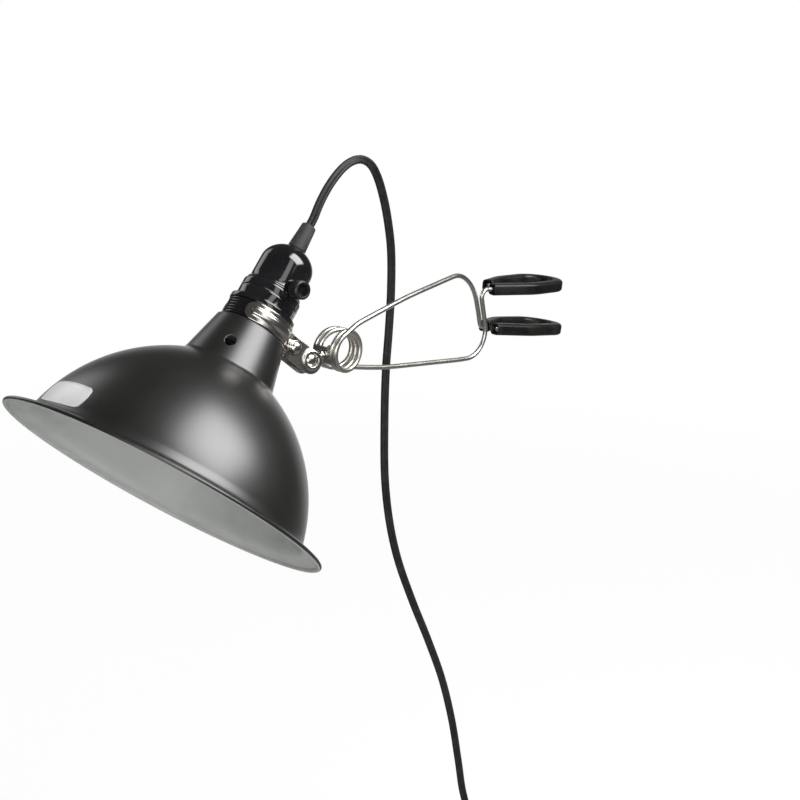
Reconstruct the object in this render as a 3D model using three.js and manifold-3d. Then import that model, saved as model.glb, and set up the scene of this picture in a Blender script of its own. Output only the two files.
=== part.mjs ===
// Clip-on reading lamp: a spun metal shade on a switched screw socket, carried by a ball joint on a
// clip that is bent from one length of spring wire, with soft sleeves on its two jaws.
//
// Units are millimetres and degrees, +Z is up. The origin is the centre of the flat underside of the
// upper jaw's rounded tip; +X runs out along the jaws, over the board that the clip bites.
import * as THREE from 'three';
import { mergeVertices } from 'three/addons/utils/BufferGeometryUtils.js';
import Module from 'manifold-3d';

const wasm = await Module();
wasm.setup();

// ---------------------------------------------------------------- driving dimensions

const CLEARANCE = 0.3; // between pieces that touch or run in each other

// Spring clip
const WIRE_D = 3.2;
const COIL_MEAN_R = 11.9;
const COIL_TO_MOUTH = 146; // coil axis to the line where the jaws begin
const COIL_DROP = 22.9; // coil axis below the upper jaw's contact face
const COIL_PITCH = WIRE_D + CLEARANCE;
const COIL_FRONT = 8.6; // front turn's offset from the middle plane, on the stud's side
const COIL_SPLAY = 6.2; // how far the last turns are sprung apart from the first on that side
const UPPER_ARM_SLOPE = 30; // as it leaves the coil
const UPPER_ARM_BEND_AT = 13; // along the arm, where it eases into its long straight
const UPPER_MIDDLE_BACK = 94; // distances back from the mouth line
const UPPER_MIDDLE_Z = 6.2;
const UPPER_KNEE_BACK = 33;
const UPPER_KNEE_Z = 17.2;
const UPPER_SHOULDER_BACK = 12;
const UPPER_SHOULDER_Z = 7;
const UPPER_SHIN_BACK = 3;
const UPPER_SHIN_Z = -13;
const UPPER_HOOK_AT = 0.6;
const LOWER_ARM_BEND_AT = 48;
const LOWER_KNEE_BACK = 22;
const LOWER_KNEE_Z = -43;
const LOWER_SHIN_AT = 8;
const LOWER_SHIN_Z = -42.2;
const LOWER_HOOK_BACK = 8.9;
const LOWER_ARM_SLOPE = -7.4;
const CROSSING_OFFSET = 2.2; // each arm passes the other this far to its side of the middle plane

// Jaws
const UPPER_JAW_REACH = 75; // mouth line to the centre of the tip's wire
const LOWER_JAW_REACH = 80;
const UPPER_JAW_ENTRY = -1; // mouth line to where the wire turns into a limb
const LOWER_JAW_ENTRY = 4;
const UPPER_JAW_END = 13; // mouth line to where the wire stops in the other limb
const LOWER_JAW_END = 3;
const JAW_END_OFFSET = 8.3; // middle plane to that end
const JAW_HALF_WIDTH = 15; // middle plane to the wire of a limb
const JAW_LIMB_START = 36;
const JAW_LIMB_BEND = 16;
const SLEEVE_SIZE = 8; // width and height of the sleeve's section
const SLEEVE_ROUND = 1.6;
const SLEEVE_START = 3.5; // bare wire left between the throat bend and the sleeve
const LOWER_JAW_SLOPE = -4.4;
const BOARD_GAP = 18.6; // between the contact faces at the mouth

// Ball stud and its seat on the coil
const BALL_D = 12;
const STUD_D = 3.6;
const BALL_TO_COIL = 27.2;
const STUD_SLOPE = 8; // stud axis above the horizontal, from the ball towards the coil
const SADDLE_T = 1.4;
const SADDLE_WIDTH = 14;
const SADDLE_HALF_ANGLE = 20;
const STUD_SHOULDER_D = 7;
const STUD_NUT_AF = 7;
const STUD_NUT_H = 3.2;

// Socket clamp
const LINK_LENGTH = 41.3; // socket axis to ball centre
const SHEET_T = 1;
const PLATE_HALF_GAP = 4.5;
const PLATE_DROP = 1.4; // plate centre line below the ball
const PLATE_END_R = 7.3;
const CLAMP_SCREW_AT = 27.5; // socket axis to screw axis
const CLAMP_SCREW_D = 4;
const BAND_WIDTH = 11;
const FINGER_ANGLE = 140; // from the link round to the rounded end of each clamp half

// Socket, along its own axis from the ball's level
const MANTLE_R = 20; // over the thread
const MANTLE_WALL = 2.2;
const MANTLE_BOTTOM = -26;
const FLANGE_R = 20.5;
const FLANGE_BOTTOM = 6;
const FLANGE_TOP = 9;
const COLLAR_R = 18.3;
const SEAM_Z = 15.5;
const CAP_R = 16.3;
const CAP_SHOULDER_Z = 23;
const CAP_DOME_START = 37.5;
const CAP_TOP = 50.5;
const CAP_WALL = 2;
const GRIP_BASE_R = 5.7;
const GRIP_TOP_R = 4.5;
const GRIP_LENGTH = 17;
const KNOB_D = 11;
const KNOB_LENGTH = 8.5;
const KNOB_END = 27.4; // socket axis to the knob's outer face
const KNOB_Z = 24.1;
const KNOB_ANGLE = -82; // round the socket axis, from the link
const KNOB_RECESS_D = 7;
const SPINDLE_D = 4;

// Screw shell and bulb
const E27_CAP_R = 13.1;
const E27_CAP_LENGTH = 22;
const SHELL_WALL = 0.5;
const INSERT_R = 16;
const INSERT_BOTTOM = 1;
const INSERT_TOP = 12;
const BULB_R = 22.5;
const BULB_LENGTH = 78;

// Shade
const SHADE_WALL = 1;
const NECK_TOP = -5.8;
const NECK_TOP_R = 21.9;
const NECK_BASE = -34.5;
const NECK_BASE_R = 28.8;
const DOME_ARC_R = 98.6;
const LIP_START = -101;
const LIP_START_R = 83.8;
const RIM_Z = -109.8;
const RIM_R = 98.4;
const BEAD_R = 1.3;
const VENT_D = 7;
const VENT_Z = -22.5;
const VENT_ANGLES = [-131.6, 48.4];
const RING_Z = -17;
const RING_H = 5;

// Attitude of the head at rest
const HEAD_TILT = 36.2;
const HEAD_TURN = 18.7;

// Mains lead
const CORD_WIDTH = 5.4;
const CORD_THICKNESS = 2.9;
const FLOOR_Z = -430;
const CORD_COIL_MEAN_R = 30;
const CORD_COIL_WIDTH = 16.4;
const CORD_COIL_HEIGHT = 11;
const PLUG_LENGTH = 36;
const PLUG_WIDTH = 25;
const PLUG_THICKNESS = 14;
const PIN_D = 4;
const PIN_LENGTH = 19;
const PIN_SPACING = 18.6;

// ---------------------------------------------------------------- geometry helpers

const { degToRad } = THREE.MathUtils;
const v2 = (x, y) => new THREE.Vector2(x, y);
const v3 = (x, y, z) => new THREE.Vector3(x, y, z);
const Z_AXIS = v3(0, 0, 1);

// Merges equal vertices, drops collapsed triangles and turns the faces outward.
function weld(geometry) {
  const bare = geometry.clone();
  bare.deleteAttribute('normal');
  bare.deleteAttribute('uv');
  const merged = mergeVertices(bare, 1e-4);
  const p = merged.attributes.position;
  const [a, b, c] = [v3(0, 0, 0), v3(0, 0, 0), v3(0, 0, 0)];
  const kept = [];
  let volume = 0;
  for (let i = 0; i < merged.index.count; i += 3) {
    const corners = [0, 1, 2].map((k) => merged.index.getX(i + k));
    if (new Set(corners).size < 3) continue;
    kept.push(...corners);
    [a, b, c].forEach((point, k) => point.fromBufferAttribute(p, corners[k]));
    volume += a.dot(b.cross(c));
  }
  merged.setIndex(volume < 0 ? kept.reverse() : kept);
  return merged;
}

function toSolid(geometry) {
  const welded = weld(geometry);
  return new wasm.Manifold(new wasm.Mesh({
    numProp: 3,
    vertProperties: new Float32Array(welded.attributes.position.array),
    triVerts: new Uint32Array(welded.index.array),
  }));
}

function toGeometry(solid) {
  const { vertProperties, triVerts } = solid.getMesh();
  const geometry = new THREE.BufferGeometry();
  geometry.setAttribute('position', new THREE.BufferAttribute(vertProperties, 3));
  geometry.setIndex(new THREE.BufferAttribute(triVerts, 1));
  return geometry;
}

function join(first, ...others) {
  return toGeometry(others.reduce((sum, other) => sum.add(toSolid(other)), toSolid(first)));
}

function cut(body, ...tools) {
  return toGeometry(tools.reduce((rest, tool) => rest.subtract(toSolid(tool)), toSolid(body)));
}

function common(first, second) {
  return toGeometry(toSolid(first).intersect(toSolid(second)));
}

// A turned piece about Z from [radius, height] pairs; a profile off the axis is closed on itself.
function revolve(profile, segments = 32) {
  const points = profile.map(([r, z]) => v2(r, z));
  const onAxis = profile[0][0] === 0 && profile.at(-1)[0] === 0;
  if (!onAxis) points.push(points[0].clone());
  return new THREE.LatheGeometry(points, segments).rotateX(Math.PI / 2);
}

// A round bar from `start` to `end`.
function bar(radius, start, end, sides = 20) {
  const along = end.clone().sub(start);
  const geometry = new THREE.CylinderGeometry(radius, radius, along.length(), sides);
  geometry.translate(0, along.length() / 2, 0);
  geometry.applyQuaternion(new THREE.Quaternion().setFromUnitVectors(v3(0, 1, 0), along.normalize()));
  return geometry.translate(start.x, start.y, start.z);
}

const prism = (shape, depth, curveSegments = 8) =>
  new THREE.ExtrudeGeometry(shape, { depth, curveSegments, bevelEnabled: false });

function polygon(radius, sides, turn = 0) {
  const points = [];
  for (let i = 0; i < sides; i += 1) {
    const a = turn + (2 * Math.PI * i) / sides;
    points.push(v2(radius * Math.cos(a), radius * Math.sin(a)));
  }
  return points;
}

const hexagon = (acrossFlats) => polygon(acrossFlats / Math.sqrt(3), 6, Math.PI / 6);

// Points of an arc about (cx, cy), from one angle to another.
function arc(cx, cy, radius, from, to, steps) {
  const points = [];
  for (let i = 0; i <= steps; i += 1) {
    const a = degToRad(from + ((to - from) * i) / steps);
    points.push([cx + radius * Math.cos(a), cy + radius * Math.sin(a)]);
  }
  return points;
}

// The other side of a sheet: an open profile moved sideways by the wall.
function offset(profile, wall) {
  return profile.map(([r, z], i) => {
    const [r0, z0] = profile[Math.max(i - 1, 0)];
    const [r1, z1] = profile[Math.min(i + 1, profile.length - 1)];
    const length = Math.hypot(r1 - r0, z1 - z0);
    return [r + (wall * (z1 - z0)) / length, z - (wall * (r1 - r0)) / length];
  });
}

// A centre line given by its stations, whose section is carried along without twisting.
class StationPath extends THREE.Curve {
  constructor(stations, tangents, startNormal) {
    super();
    this.stations = stations;
    this.tangents = tangents;
    this.startNormal = startNormal;
  }

  getPoint(t, target = v3(0, 0, 0)) {
    const at = t * (this.stations.length - 1);
    const i = Math.min(Math.floor(at), this.stations.length - 2);
    return target.lerpVectors(this.stations[i], this.stations[i + 1], at - i);
  }

  getSpacedPoints() {
    return this.stations;
  }

  computeFrenetFrames() {
    const turn = new THREE.Quaternion();
    const normals = [];
    let normal = this.startNormal.clone();
    this.tangents.forEach((tangent, i) => {
      const before = this.tangents[Math.max(i - 1, 0)];
      normal = normal.clone().applyQuaternion(turn.setFromUnitVectors(before, tangent));
      normal.addScaledVector(tangent, -normal.dot(tangent)).normalize();
      normals.push(normal);
    });
    const binormals = normals.map((n, i) => this.tangents[i].clone().cross(n));
    return { tangents: this.tangents, normals, binormals };
  }
}

// Straight runs joined by arcs: each corner is { at, bend } with its bend radius at the centre line.
function bentPath(corners, startNormal, degreesPerStep = 20) {
  const stations = [corners[0].at.clone()];
  const tangents = [corners[1].at.clone().sub(corners[0].at).normalize()];
  for (let i = 1; i < corners.length - 1; i += 1) {
    const before = corners[i].at.clone().sub(corners[i - 1].at).normalize();
    const after = corners[i + 1].at.clone().sub(corners[i].at).normalize();
    const turn = before.angleTo(after);
    const inward = after.clone().addScaledVector(before, -after.dot(before)).normalize();
    const start = corners[i].at.clone().addScaledVector(before, -corners[i].bend * Math.tan(turn / 2));
    const centre = start.clone().addScaledVector(inward, corners[i].bend);
    const steps = Math.max(2, Math.ceil(THREE.MathUtils.radToDeg(turn) / degreesPerStep));
    for (let k = 0; k <= steps; k += 1) {
      const a = (turn * k) / steps;
      stations.push(centre.clone()
        .addScaledVector(inward, -corners[i].bend * Math.cos(a))
        .addScaledVector(before, corners[i].bend * Math.sin(a)));
      tangents.push(before.clone().multiplyScalar(Math.cos(a)).addScaledVector(inward, Math.sin(a)));
    }
  }
  stations.push(corners.at(-1).at.clone());
  tangents.push(tangents.at(-1).clone());
  return new StationPath(stations, tangents, startNormal);
}

function sweep(section, path) {
  const steps = path.stations.length - 1;
  return new THREE.ExtrudeGeometry(section, { steps, extrudePath: path, bevelEnabled: false });
}

function finish(name, geometry, color, roughness, metalness = 0) {
  const plain = weld(geometry).toNonIndexed();
  plain.computeVertexNormals();
  const mesh = new THREE.Mesh(plain, new THREE.MeshStandardMaterial({ color, roughness, metalness }));
  mesh.name = name;
  return mesh;
}

const nickel = (name, geometry) => finish(name, geometry, 0xb9b3a8, 0.22, 1);
const brass = (name, geometry) => finish(name, geometry, 0xc2a45a, 0.35, 1);
const bakelite = (name, geometry) => finish(name, geometry, 0x0b0b0c, 0.15);
const blackPlastic = (name, geometry) => finish(name, geometry, 0x161615, 0.45);

// ---------------------------------------------------------------- spring clip

const coilCentre = v3(-COIL_TO_MOUTH, 0, -COIL_DROP);
const wireSection = new THREE.Shape(polygon(WIRE_D / 2, 8));
const FIRST_TURN_ANGLE = 90 + UPPER_ARM_SLOPE; // where the upper arm leaves, seen from the -Y side
const LAST_TURN_ANGLE = 3 * 360 + 270 + LOWER_ARM_SLOPE; // where the lower arm leaves
const STUD_SIDE_ANGLE = 180;
const COIL_STEP_ANGLE = 21;
const SPLAY_START_ANGLE = 720;

// The turns are wound side by side, and the last ones are sprung away from the first on the stud's side.
function turnOffset(angle) {
  const wound = (COIL_PITCH * (angle - STUD_SIDE_ANGLE)) / 360 - COIL_FRONT;
  const spread = angle > SPLAY_START_ANGLE ? (COIL_SPLAY * (1 - Math.cos(degToRad(angle)))) / 2 : 0;
  return wound + spread;
}

function coilPoint(angle, radius = COIL_MEAN_R) {
  const a = degToRad(angle);
  return coilCentre.clone().add(v3(radius * Math.cos(a), turnOffset(angle), radius * Math.sin(a)));
}

function coilPath() {
  const steps = Math.round((LAST_TURN_ANGLE - FIRST_TURN_ANGLE) / COIL_STEP_ANGLE);
  const stations = [];
  for (let i = 0; i <= steps; i += 1) {
    stations.push(coilPoint(FIRST_TURN_ANGLE + ((LAST_TURN_ANGLE - FIRST_TURN_ANGLE) * i) / steps));
  }
  const tangents = stations.map((_, i) => stations[Math.min(i + 1, steps)].clone()
    .sub(stations[Math.max(i - 1, 0)]).normalize());
  for (const [i, angle] of [[0, FIRST_TURN_ANGLE], [steps, LAST_TURN_ANGLE]]) {
    tangents[i].set(-Math.sin(degToRad(angle)), 0, Math.cos(degToRad(angle)));
  }
  return new StationPath(stations, tangents, v3(0, 1, 0));
}

// Where a jaw's wire runs, as [reach from the mouth, offset from the middle plane, bend radius]; the
// wire enters on the side given and comes back along the other limb.
function jawLoop(side, reach, entersAt, endsAt) {
  const tipBend = JAW_HALF_WIDTH - 0.1;
  return [
    [entersAt, side * CROSSING_OFFSET, WIRE_D],
    [JAW_LIMB_START, side * JAW_HALF_WIDTH, JAW_LIMB_BEND],
    [reach, side * JAW_HALF_WIDTH, tipBend],
    [reach, -side * JAW_HALF_WIDTH, tipBend],
    [JAW_LIMB_START, -side * JAW_HALF_WIDTH, JAW_LIMB_BEND],
    [endsAt, -side * JAW_END_OFFSET, 0],
  ];
}

const upperLoop = () => jawLoop(-1, UPPER_JAW_REACH, UPPER_JAW_ENTRY, UPPER_JAW_END).map(onUpperJaw);
const lowerLoop = () => jawLoop(1, LOWER_JAW_REACH, LOWER_JAW_ENTRY, LOWER_JAW_END).map(onLowerJaw);

const onUpperJaw = ([x, y, bend]) => ({ at: v3(x, y, SLEEVE_SIZE / 2), bend });

function onLowerJaw([x, y, bend]) {
  const slope = degToRad(LOWER_JAW_SLOPE);
  const depth = -BOARD_GAP - SLEEVE_SIZE / 2;
  return { at: v3(x * Math.cos(slope), y, depth + x * Math.sin(slope)), bend };
}

// The last corner of a path, drawn back along the wire.
function shortened(corners, by) {
  const [last, before] = [corners.at(-1), corners.at(-2)];
  const back = before.at.clone().sub(last.at).normalize();
  return [...corners.slice(0, -1), { at: last.at.clone().addScaledVector(back, by), bend: 0 }];
}

function sleeve(loop) {
  const half = SLEEVE_SIZE / 2;
  const flat = half - SLEEVE_ROUND;
  const outline = [[1, 1, 0], [-1, 1, 90], [-1, -1, 180], [1, -1, 270]].flatMap(([x, y, from]) =>
    arc(x * flat, y * flat, SLEEVE_ROUND, from, from + 90, 2));
  const section = new THREE.Shape(outline.map(([x, y]) => v2(x, y)));
  section.holes.push(new THREE.Path(polygon(WIRE_D / 2 + CLEARANCE, 8)));
  const limb = loop[1].at.clone().sub(loop[0].at).normalize();
  const corners = [{ at: loop[0].at.clone().addScaledVector(limb, SLEEVE_START), bend: 0 }, ...loop.slice(1)];
  const up = corners[1].at.clone().sub(corners[0].at)
    .cross(corners[2].at.clone().sub(corners[1].at)).normalize();
  return sweep(section, bentPath(corners, up));
}

function armStart(angle, slope) {
  const along = v3(Math.cos(degToRad(slope)), 0, Math.sin(degToRad(slope)));
  return { start: coilPoint(angle).addScaledVector(along, CLEARANCE), along };
}

function upperArm() {
  const { start, along } = armStart(FIRST_TURN_ANGLE, UPPER_ARM_SLOPE);
  const loop = lowerLoop();
  const bend = start.clone().addScaledVector(along, UPPER_ARM_BEND_AT);
  const middle = v3(-UPPER_MIDDLE_BACK, bend.y + CROSSING_OFFSET, UPPER_MIDDLE_Z);
  const hook = v3(UPPER_HOOK_AT, CROSSING_OFFSET, loop[0].at.z);
  return bentPath([
    { at: start, bend: 0 },
    { at: bend, bend: 35 },
    { at: middle, bend: 260 },
    { at: v3(-UPPER_KNEE_BACK, -CROSSING_OFFSET / 2, UPPER_KNEE_Z), bend: 14 },
    { at: v3(-UPPER_SHOULDER_BACK, CROSSING_OFFSET / 2, UPPER_SHOULDER_Z), bend: 22 },
    { at: v3(-UPPER_SHIN_BACK, CROSSING_OFFSET, UPPER_SHIN_Z), bend: 20 },
    { at: hook, bend: 4 },
    ...shortened(loop, SLEEVE_SIZE / 4),
  ], v3(0, 1, 0));
}

function lowerArm() {
  const { start, along } = armStart(LAST_TURN_ANGLE, LOWER_ARM_SLOPE);
  const loop = upperLoop();
  return bentPath([
    { at: start, bend: 0 },
    { at: start.clone().addScaledVector(along, LOWER_ARM_BEND_AT).add(v3(0, -CROSSING_OFFSET, 0)), bend: 260 },
    { at: v3(-LOWER_KNEE_BACK, -CROSSING_OFFSET / 3, LOWER_KNEE_Z), bend: 200 },
    { at: v3(LOWER_SHIN_AT, -CROSSING_OFFSET, LOWER_SHIN_Z), bend: 12 },
    { at: v3(-LOWER_HOOK_BACK, -CROSSING_OFFSET, loop[0].at.z), bend: 5 },
    ...shortened(loop, SLEEVE_SIZE / 4),
  ], v3(0, 1, 0));
}

function clipPieces() {
  return [
    nickel('clip_coil', sweep(wireSection, coilPath())),
    nickel('clip_upper_arm', sweep(wireSection, upperArm())),
    nickel('clip_lower_arm', sweep(wireSection, lowerArm())),
    blackPlastic('upper_jaw_sleeve', sleeve(upperLoop())),
    blackPlastic('lower_jaw_sleeve', sleeve(lowerLoop())),
  ];
}

// ---------------------------------------------------------------- ball stud

const coilOuterR = COIL_MEAN_R + WIRE_D / 2;
const coilInnerR = COIL_MEAN_R - WIRE_D / 2;
const studDirection = v3(Math.cos(degToRad(STUD_SLOPE)), 0, Math.sin(degToRad(STUD_SLOPE)));
const ballCentre = coilCentre.clone().addScaledVector(studDirection, -BALL_TO_COIL);
const studHole = STUD_D / 2 + CLEARANCE;

// Turned about Z with the ball at the origin and the shank upward.
function ballStud() {
  const ballR = BALL_D / 2;
  const neckR = STUD_D / 2;
  const shoulderEnd = BALL_TO_COIL - coilOuterR - SADDLE_T - 2 * CLEARANCE;
  const shankEnd = BALL_TO_COIL - nutSeat() + STUD_NUT_H + 1;
  const neckAngle = THREE.MathUtils.radToDeg(Math.acos(neckR / ballR));
  return revolve([
    [0, -ballR],
    ...arc(0, 0, ballR, -75, neckAngle, 8),
    [neckR, shoulderEnd - 1],
    [STUD_SHOULDER_D / 2, shoulderEnd - 0.8],
    [STUD_SHOULDER_D / 2, shoulderEnd],
    [neckR, shoulderEnd],
    [neckR, shankEnd - 0.5],
    [neckR - 0.5, shankEnd],
    [0, shankEnd],
  ], 20);
}

// How far from the coil axis the nut's face lies, on the hollow of the inner saddle.
function nutSeat() {
  const hollow = coilInnerR - CLEARANCE - SADDLE_T;
  return Math.sqrt(hollow ** 2 - (STUD_NUT_AF / 2) ** 2) - CLEARANCE;
}

// A plate curved to the turns, about the coil's axis, with the stud's hole through it.
function saddle(innerR) {
  const outerR = innerR + SADDLE_T;
  const half = SADDLE_HALF_ANGLE;
  const centreAngle = 180 + STUD_SLOPE;
  const outline = [
    ...arc(0, 0, outerR, centreAngle - half, centreAngle + half, 8),
    ...arc(0, 0, innerR, centreAngle + half, centreAngle - half, 8),
  ];
  const plate = prism(new THREE.Shape(outline.map(([x, y]) => v2(x, y))), SADDLE_WIDTH);
  plate.rotateX(Math.PI / 2).translate(coilCentre.x, SADDLE_WIDTH / 2, coilCentre.z);
  return cut(plate, bar(studHole, ballCentre, coilCentre));
}

function studNut() {
  const nut = prism(new THREE.Shape(hexagon(STUD_NUT_AF)), STUD_NUT_H);
  nut.applyQuaternion(new THREE.Quaternion().setFromUnitVectors(Z_AXIS, studDirection));
  const face = coilCentre.clone().addScaledVector(studDirection, -nutSeat());
  nut.translate(face.x, face.y, face.z);
  return cut(nut, bar(studHole, ballCentre, coilCentre));
}

function studPieces() {
  const stud = nickel('ball_stud', ballStud());
  stud.position.copy(ballCentre);
  stud.quaternion.setFromUnitVectors(Z_AXIS, studDirection);
  return [
    stud,
    nickel('coil_saddle_outer', saddle(coilOuterR + CLEARANCE)),
    nickel('coil_saddle_inner', saddle(coilInnerR - CLEARANCE - SADDLE_T)),
    nickel('stud_nut', studNut()),
  ];
}

// ---------------------------------------------------------------- head: clamp
// The head's pieces stand about the socket axis, which is Z here; the link runs out along +X.

const bandInnerR = MANTLE_R + CLEARANCE;
const bandOuterR = bandInnerR + SHEET_T;
const bandTop = FLANGE_BOTTOM - CLEARANCE;
const plateHoleR = Math.sqrt((BALL_D / 2) ** 2 - PLATE_HALF_GAP ** 2) + CLEARANCE;

// One stamped half: a band that hugs the thread, running out into a flat plate beside the ball.
function clampHalf() {
  const outerFace = PLATE_HALF_GAP + SHEET_T;
  const innerStart = THREE.MathUtils.radToDeg(Math.asin(PLATE_HALF_GAP / bandInnerR));
  const outerStart = THREE.MathUtils.radToDeg(Math.asin(outerFace / bandOuterR));
  const plateEnd = LINK_LENGTH + PLATE_END_R;
  const strip = [
    ...arc(0, 0, bandOuterR, outerStart, FINGER_ANGLE, 14),
    ...arc(0, 0, bandInnerR, FINGER_ANGLE, innerStart, 14),
    [plateEnd, PLATE_HALF_GAP],
    [plateEnd, outerFace],
  ];
  const low = -PLATE_DROP - PLATE_END_R;
  const tall = prism(new THREE.Shape(strip.map(([x, y]) => v2(x, y))), bandTop - low);
  tall.translate(0, 0, low);

  // Seen along Y: the band's width, then the plate that widens to its round end.
  const side = new THREE.Shape();
  const bandLow = bandTop - BAND_WIDTH;
  const flare = bandOuterR + 4.5;
  side.moveTo(-MANTLE_R * 1.2, bandTop);
  side.lineTo(-MANTLE_R * 1.2, bandLow);
  side.lineTo(flare - 4, bandLow);
  side.lineTo(flare, -PLATE_DROP - PLATE_END_R + 1.2);
  side.absarc(LINK_LENGTH, -PLATE_DROP, PLATE_END_R, -Math.PI / 2, Math.PI / 2, false);
  side.lineTo(flare, bandTop);
  const outline = prism(side, outerFace + bandOuterR, 10);
  outline.rotateX(Math.PI / 2).translate(0, outerFace + bandOuterR - 0.01, 0);

  // The free end is rounded like a finger tip.
  const tipAngle = degToRad(FINGER_ANGLE) - (BAND_WIDTH / 2) / bandOuterR;
  const tipAxis = v3(Math.cos(tipAngle), Math.sin(tipAngle), 0);
  const tipHeight = v3(0, 0, bandTop - BAND_WIDTH / 2);
  const tip = bar(BAND_WIDTH / 2, tipAxis.clone().multiplyScalar(MANTLE_R / 2).add(tipHeight),
    tipAxis.clone().multiplyScalar(bandOuterR + 5).add(tipHeight), 24);
  const kept = new THREE.Shape();
  kept.moveTo(0, 0);
  kept.lineTo(3 * MANTLE_R, -MANTLE_R);
  kept.lineTo(3 * MANTLE_R, 3 * MANTLE_R);
  kept.lineTo(3 * MANTLE_R * Math.cos(tipAngle), 3 * MANTLE_R * Math.sin(tipAngle));
  const rest = prism(kept, 3 * MANTLE_R).translate(0, 0, -1.5 * MANTLE_R);

  const through = (x, r) => bar(r, v3(x, 0, 0), v3(x, 2 * outerFace, 0), 24);
  const stamped = common(common(tall, outline), join(rest, tip));
  return cut(stamped, through(LINK_LENGTH, plateHoleR), through(CLAMP_SCREW_AT, CLAMP_SCREW_D / 2 + CLEARANCE));
}

// A pan-headed screw along Y through both plates, its head on the -Y side.
function clampScrew() {
  const seat = PLATE_HALF_GAP + SHEET_T + CLEARANCE;
  const headR = 4.2;
  const headH = 2.8;
  const shankEnd = seat + 3 + 1.5;
  const profile = [
    [0, -seat - headH],
    ...arc(0, -seat - 1, headR, -65, 0, 4).map(([r, z]) => [r, Math.max(z, -seat - headH)]),
    [headR, -seat],
    [CLAMP_SCREW_D / 2, -seat],
    [CLAMP_SCREW_D / 2, shankEnd],
    [0, shankEnd],
  ];
  return revolve(profile, 20).rotateX(-Math.PI / 2).translate(CLAMP_SCREW_AT, 0, 0);
}

function clampNut() {
  const seat = PLATE_HALF_GAP + SHEET_T + CLEARANCE;
  const height = 3;
  const nut = prism(new THREE.Shape(hexagon(7)), height).rotateX(-Math.PI / 2);
  nut.translate(CLAMP_SCREW_AT, seat, 0);
  const shankR = CLAMP_SCREW_D / 2 + CLEARANCE;
  return cut(nut, bar(shankR, v3(CLAMP_SCREW_AT, 0, 0), v3(CLAMP_SCREW_AT, seat + 2 * height, 0)));
}

// ---------------------------------------------------------------- head: socket

function socketMantle() {
  const bore = MANTLE_R - MANTLE_WALL;
  const collarBore = INSERT_R + CLEARANCE;
  return revolve([
    [bore, MANTLE_BOTTOM],
    [MANTLE_R, MANTLE_BOTTOM],
    [MANTLE_R, FLANGE_BOTTOM],
    [FLANGE_R, FLANGE_BOTTOM],
    [FLANGE_R, FLANGE_TOP - 1],
    [FLANGE_R - 1, FLANGE_TOP],
    [COLLAR_R, FLANGE_TOP],
    [COLLAR_R, SEAM_Z - CLEARANCE],
    [collarBore, SEAM_Z - CLEARANCE],
    [collarBore, INSERT_BOTTOM],
    [collarBore - 1.5, INSERT_BOTTOM - CLEARANCE],
    [collarBore - 1.5, INSERT_BOTTOM - 2],
    [bore, INSERT_BOTTOM - 2],
  ], 32);
}

function knobDirection() {
  const a = degToRad(KNOB_ANGLE);
  return v3(Math.cos(a), Math.sin(a), 0);
}

const onKnobAxis = (distance) => knobDirection().multiplyScalar(distance).setZ(KNOB_Z);

function socketCap() {
  const inner = CAP_R - CAP_WALL;
  const skirtBore = COLLAR_R - CAP_WALL;
  const top = CAP_TOP - CLEARANCE;
  const outlet = GRIP_BASE_R - 2;
  const dome = (r, height, steps) => {
    const end = Math.acos(GRIP_BASE_R / CAP_R);
    return Array.from({ length: steps + 1 }, (_, i) => {
      const a = (end * i) / steps;
      return [r * Math.cos(a), CAP_DOME_START + height * Math.sin(a)];
    });
  };
  const rise = (top - CAP_DOME_START) / Math.sin(Math.acos(GRIP_BASE_R / CAP_R));
  const shell = revolve([
    [skirtBore, SEAM_Z],
    [COLLAR_R, SEAM_Z],
    ...arc(COLLAR_R - 2.5, CAP_SHOULDER_Z - 2.5, 2.5, 0, 70, 2),
    [CAP_R, CAP_SHOULDER_Z],
    ...dome(CAP_R, rise, 5),
    [outlet, top],
    [outlet, top - CAP_WALL],
    ...dome(inner, rise - CAP_WALL, 3).reverse(),
    [inner, CAP_SHOULDER_Z - 2],
    [skirtBore, CAP_SHOULDER_Z - 3],
  ], 28);
  const boss = bar(KNOB_D / 2, onKnobAxis(inner + 0.5), onKnobAxis(KNOB_END - KNOB_LENGTH - CLEARANCE), 24);
  const bushing = bar(SPINDLE_D / 2 + CLEARANCE, onKnobAxis(inner - 4), onKnobAxis(KNOB_END));
  return cut(join(shell, boss), bushing);
}

function switchSpindle() {
  return bar(SPINDLE_D / 2, onKnobAxis(CAP_R - CAP_WALL - 5), onKnobAxis(KNOB_END - KNOB_LENGTH + 3), 16);
}

// A knurled drum with a round recess in its outer face, bored for the spindle.
function switchKnob() {
  const teeth = 20;
  const outline = [];
  for (let i = 0; i < 2 * teeth; i += 1) {
    const a = (Math.PI * i) / teeth;
    const r = KNOB_D / 2 - (i % 2 ? 0.5 : 0);
    outline.push(v2(r * Math.cos(a), r * Math.sin(a)));
  }
  const drum = prism(new THREE.Shape(outline), KNOB_LENGTH);
  const recess = bar(KNOB_RECESS_D / 2, v3(0, 0, KNOB_LENGTH - 2.5), v3(0, 0, KNOB_LENGTH + 1), 24);
  const bore = bar(SPINDLE_D / 2 + CLEARANCE, v3(0, 0, -1), v3(0, 0, 3 + CLEARANCE), 16);
  const knob = cut(drum, recess, bore);
  knob.applyQuaternion(new THREE.Quaternion().setFromUnitVectors(Z_AXIS, knobDirection()));
  const base = onKnobAxis(KNOB_END - KNOB_LENGTH);
  return knob.translate(base.x, base.y, base.z);
}

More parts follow.
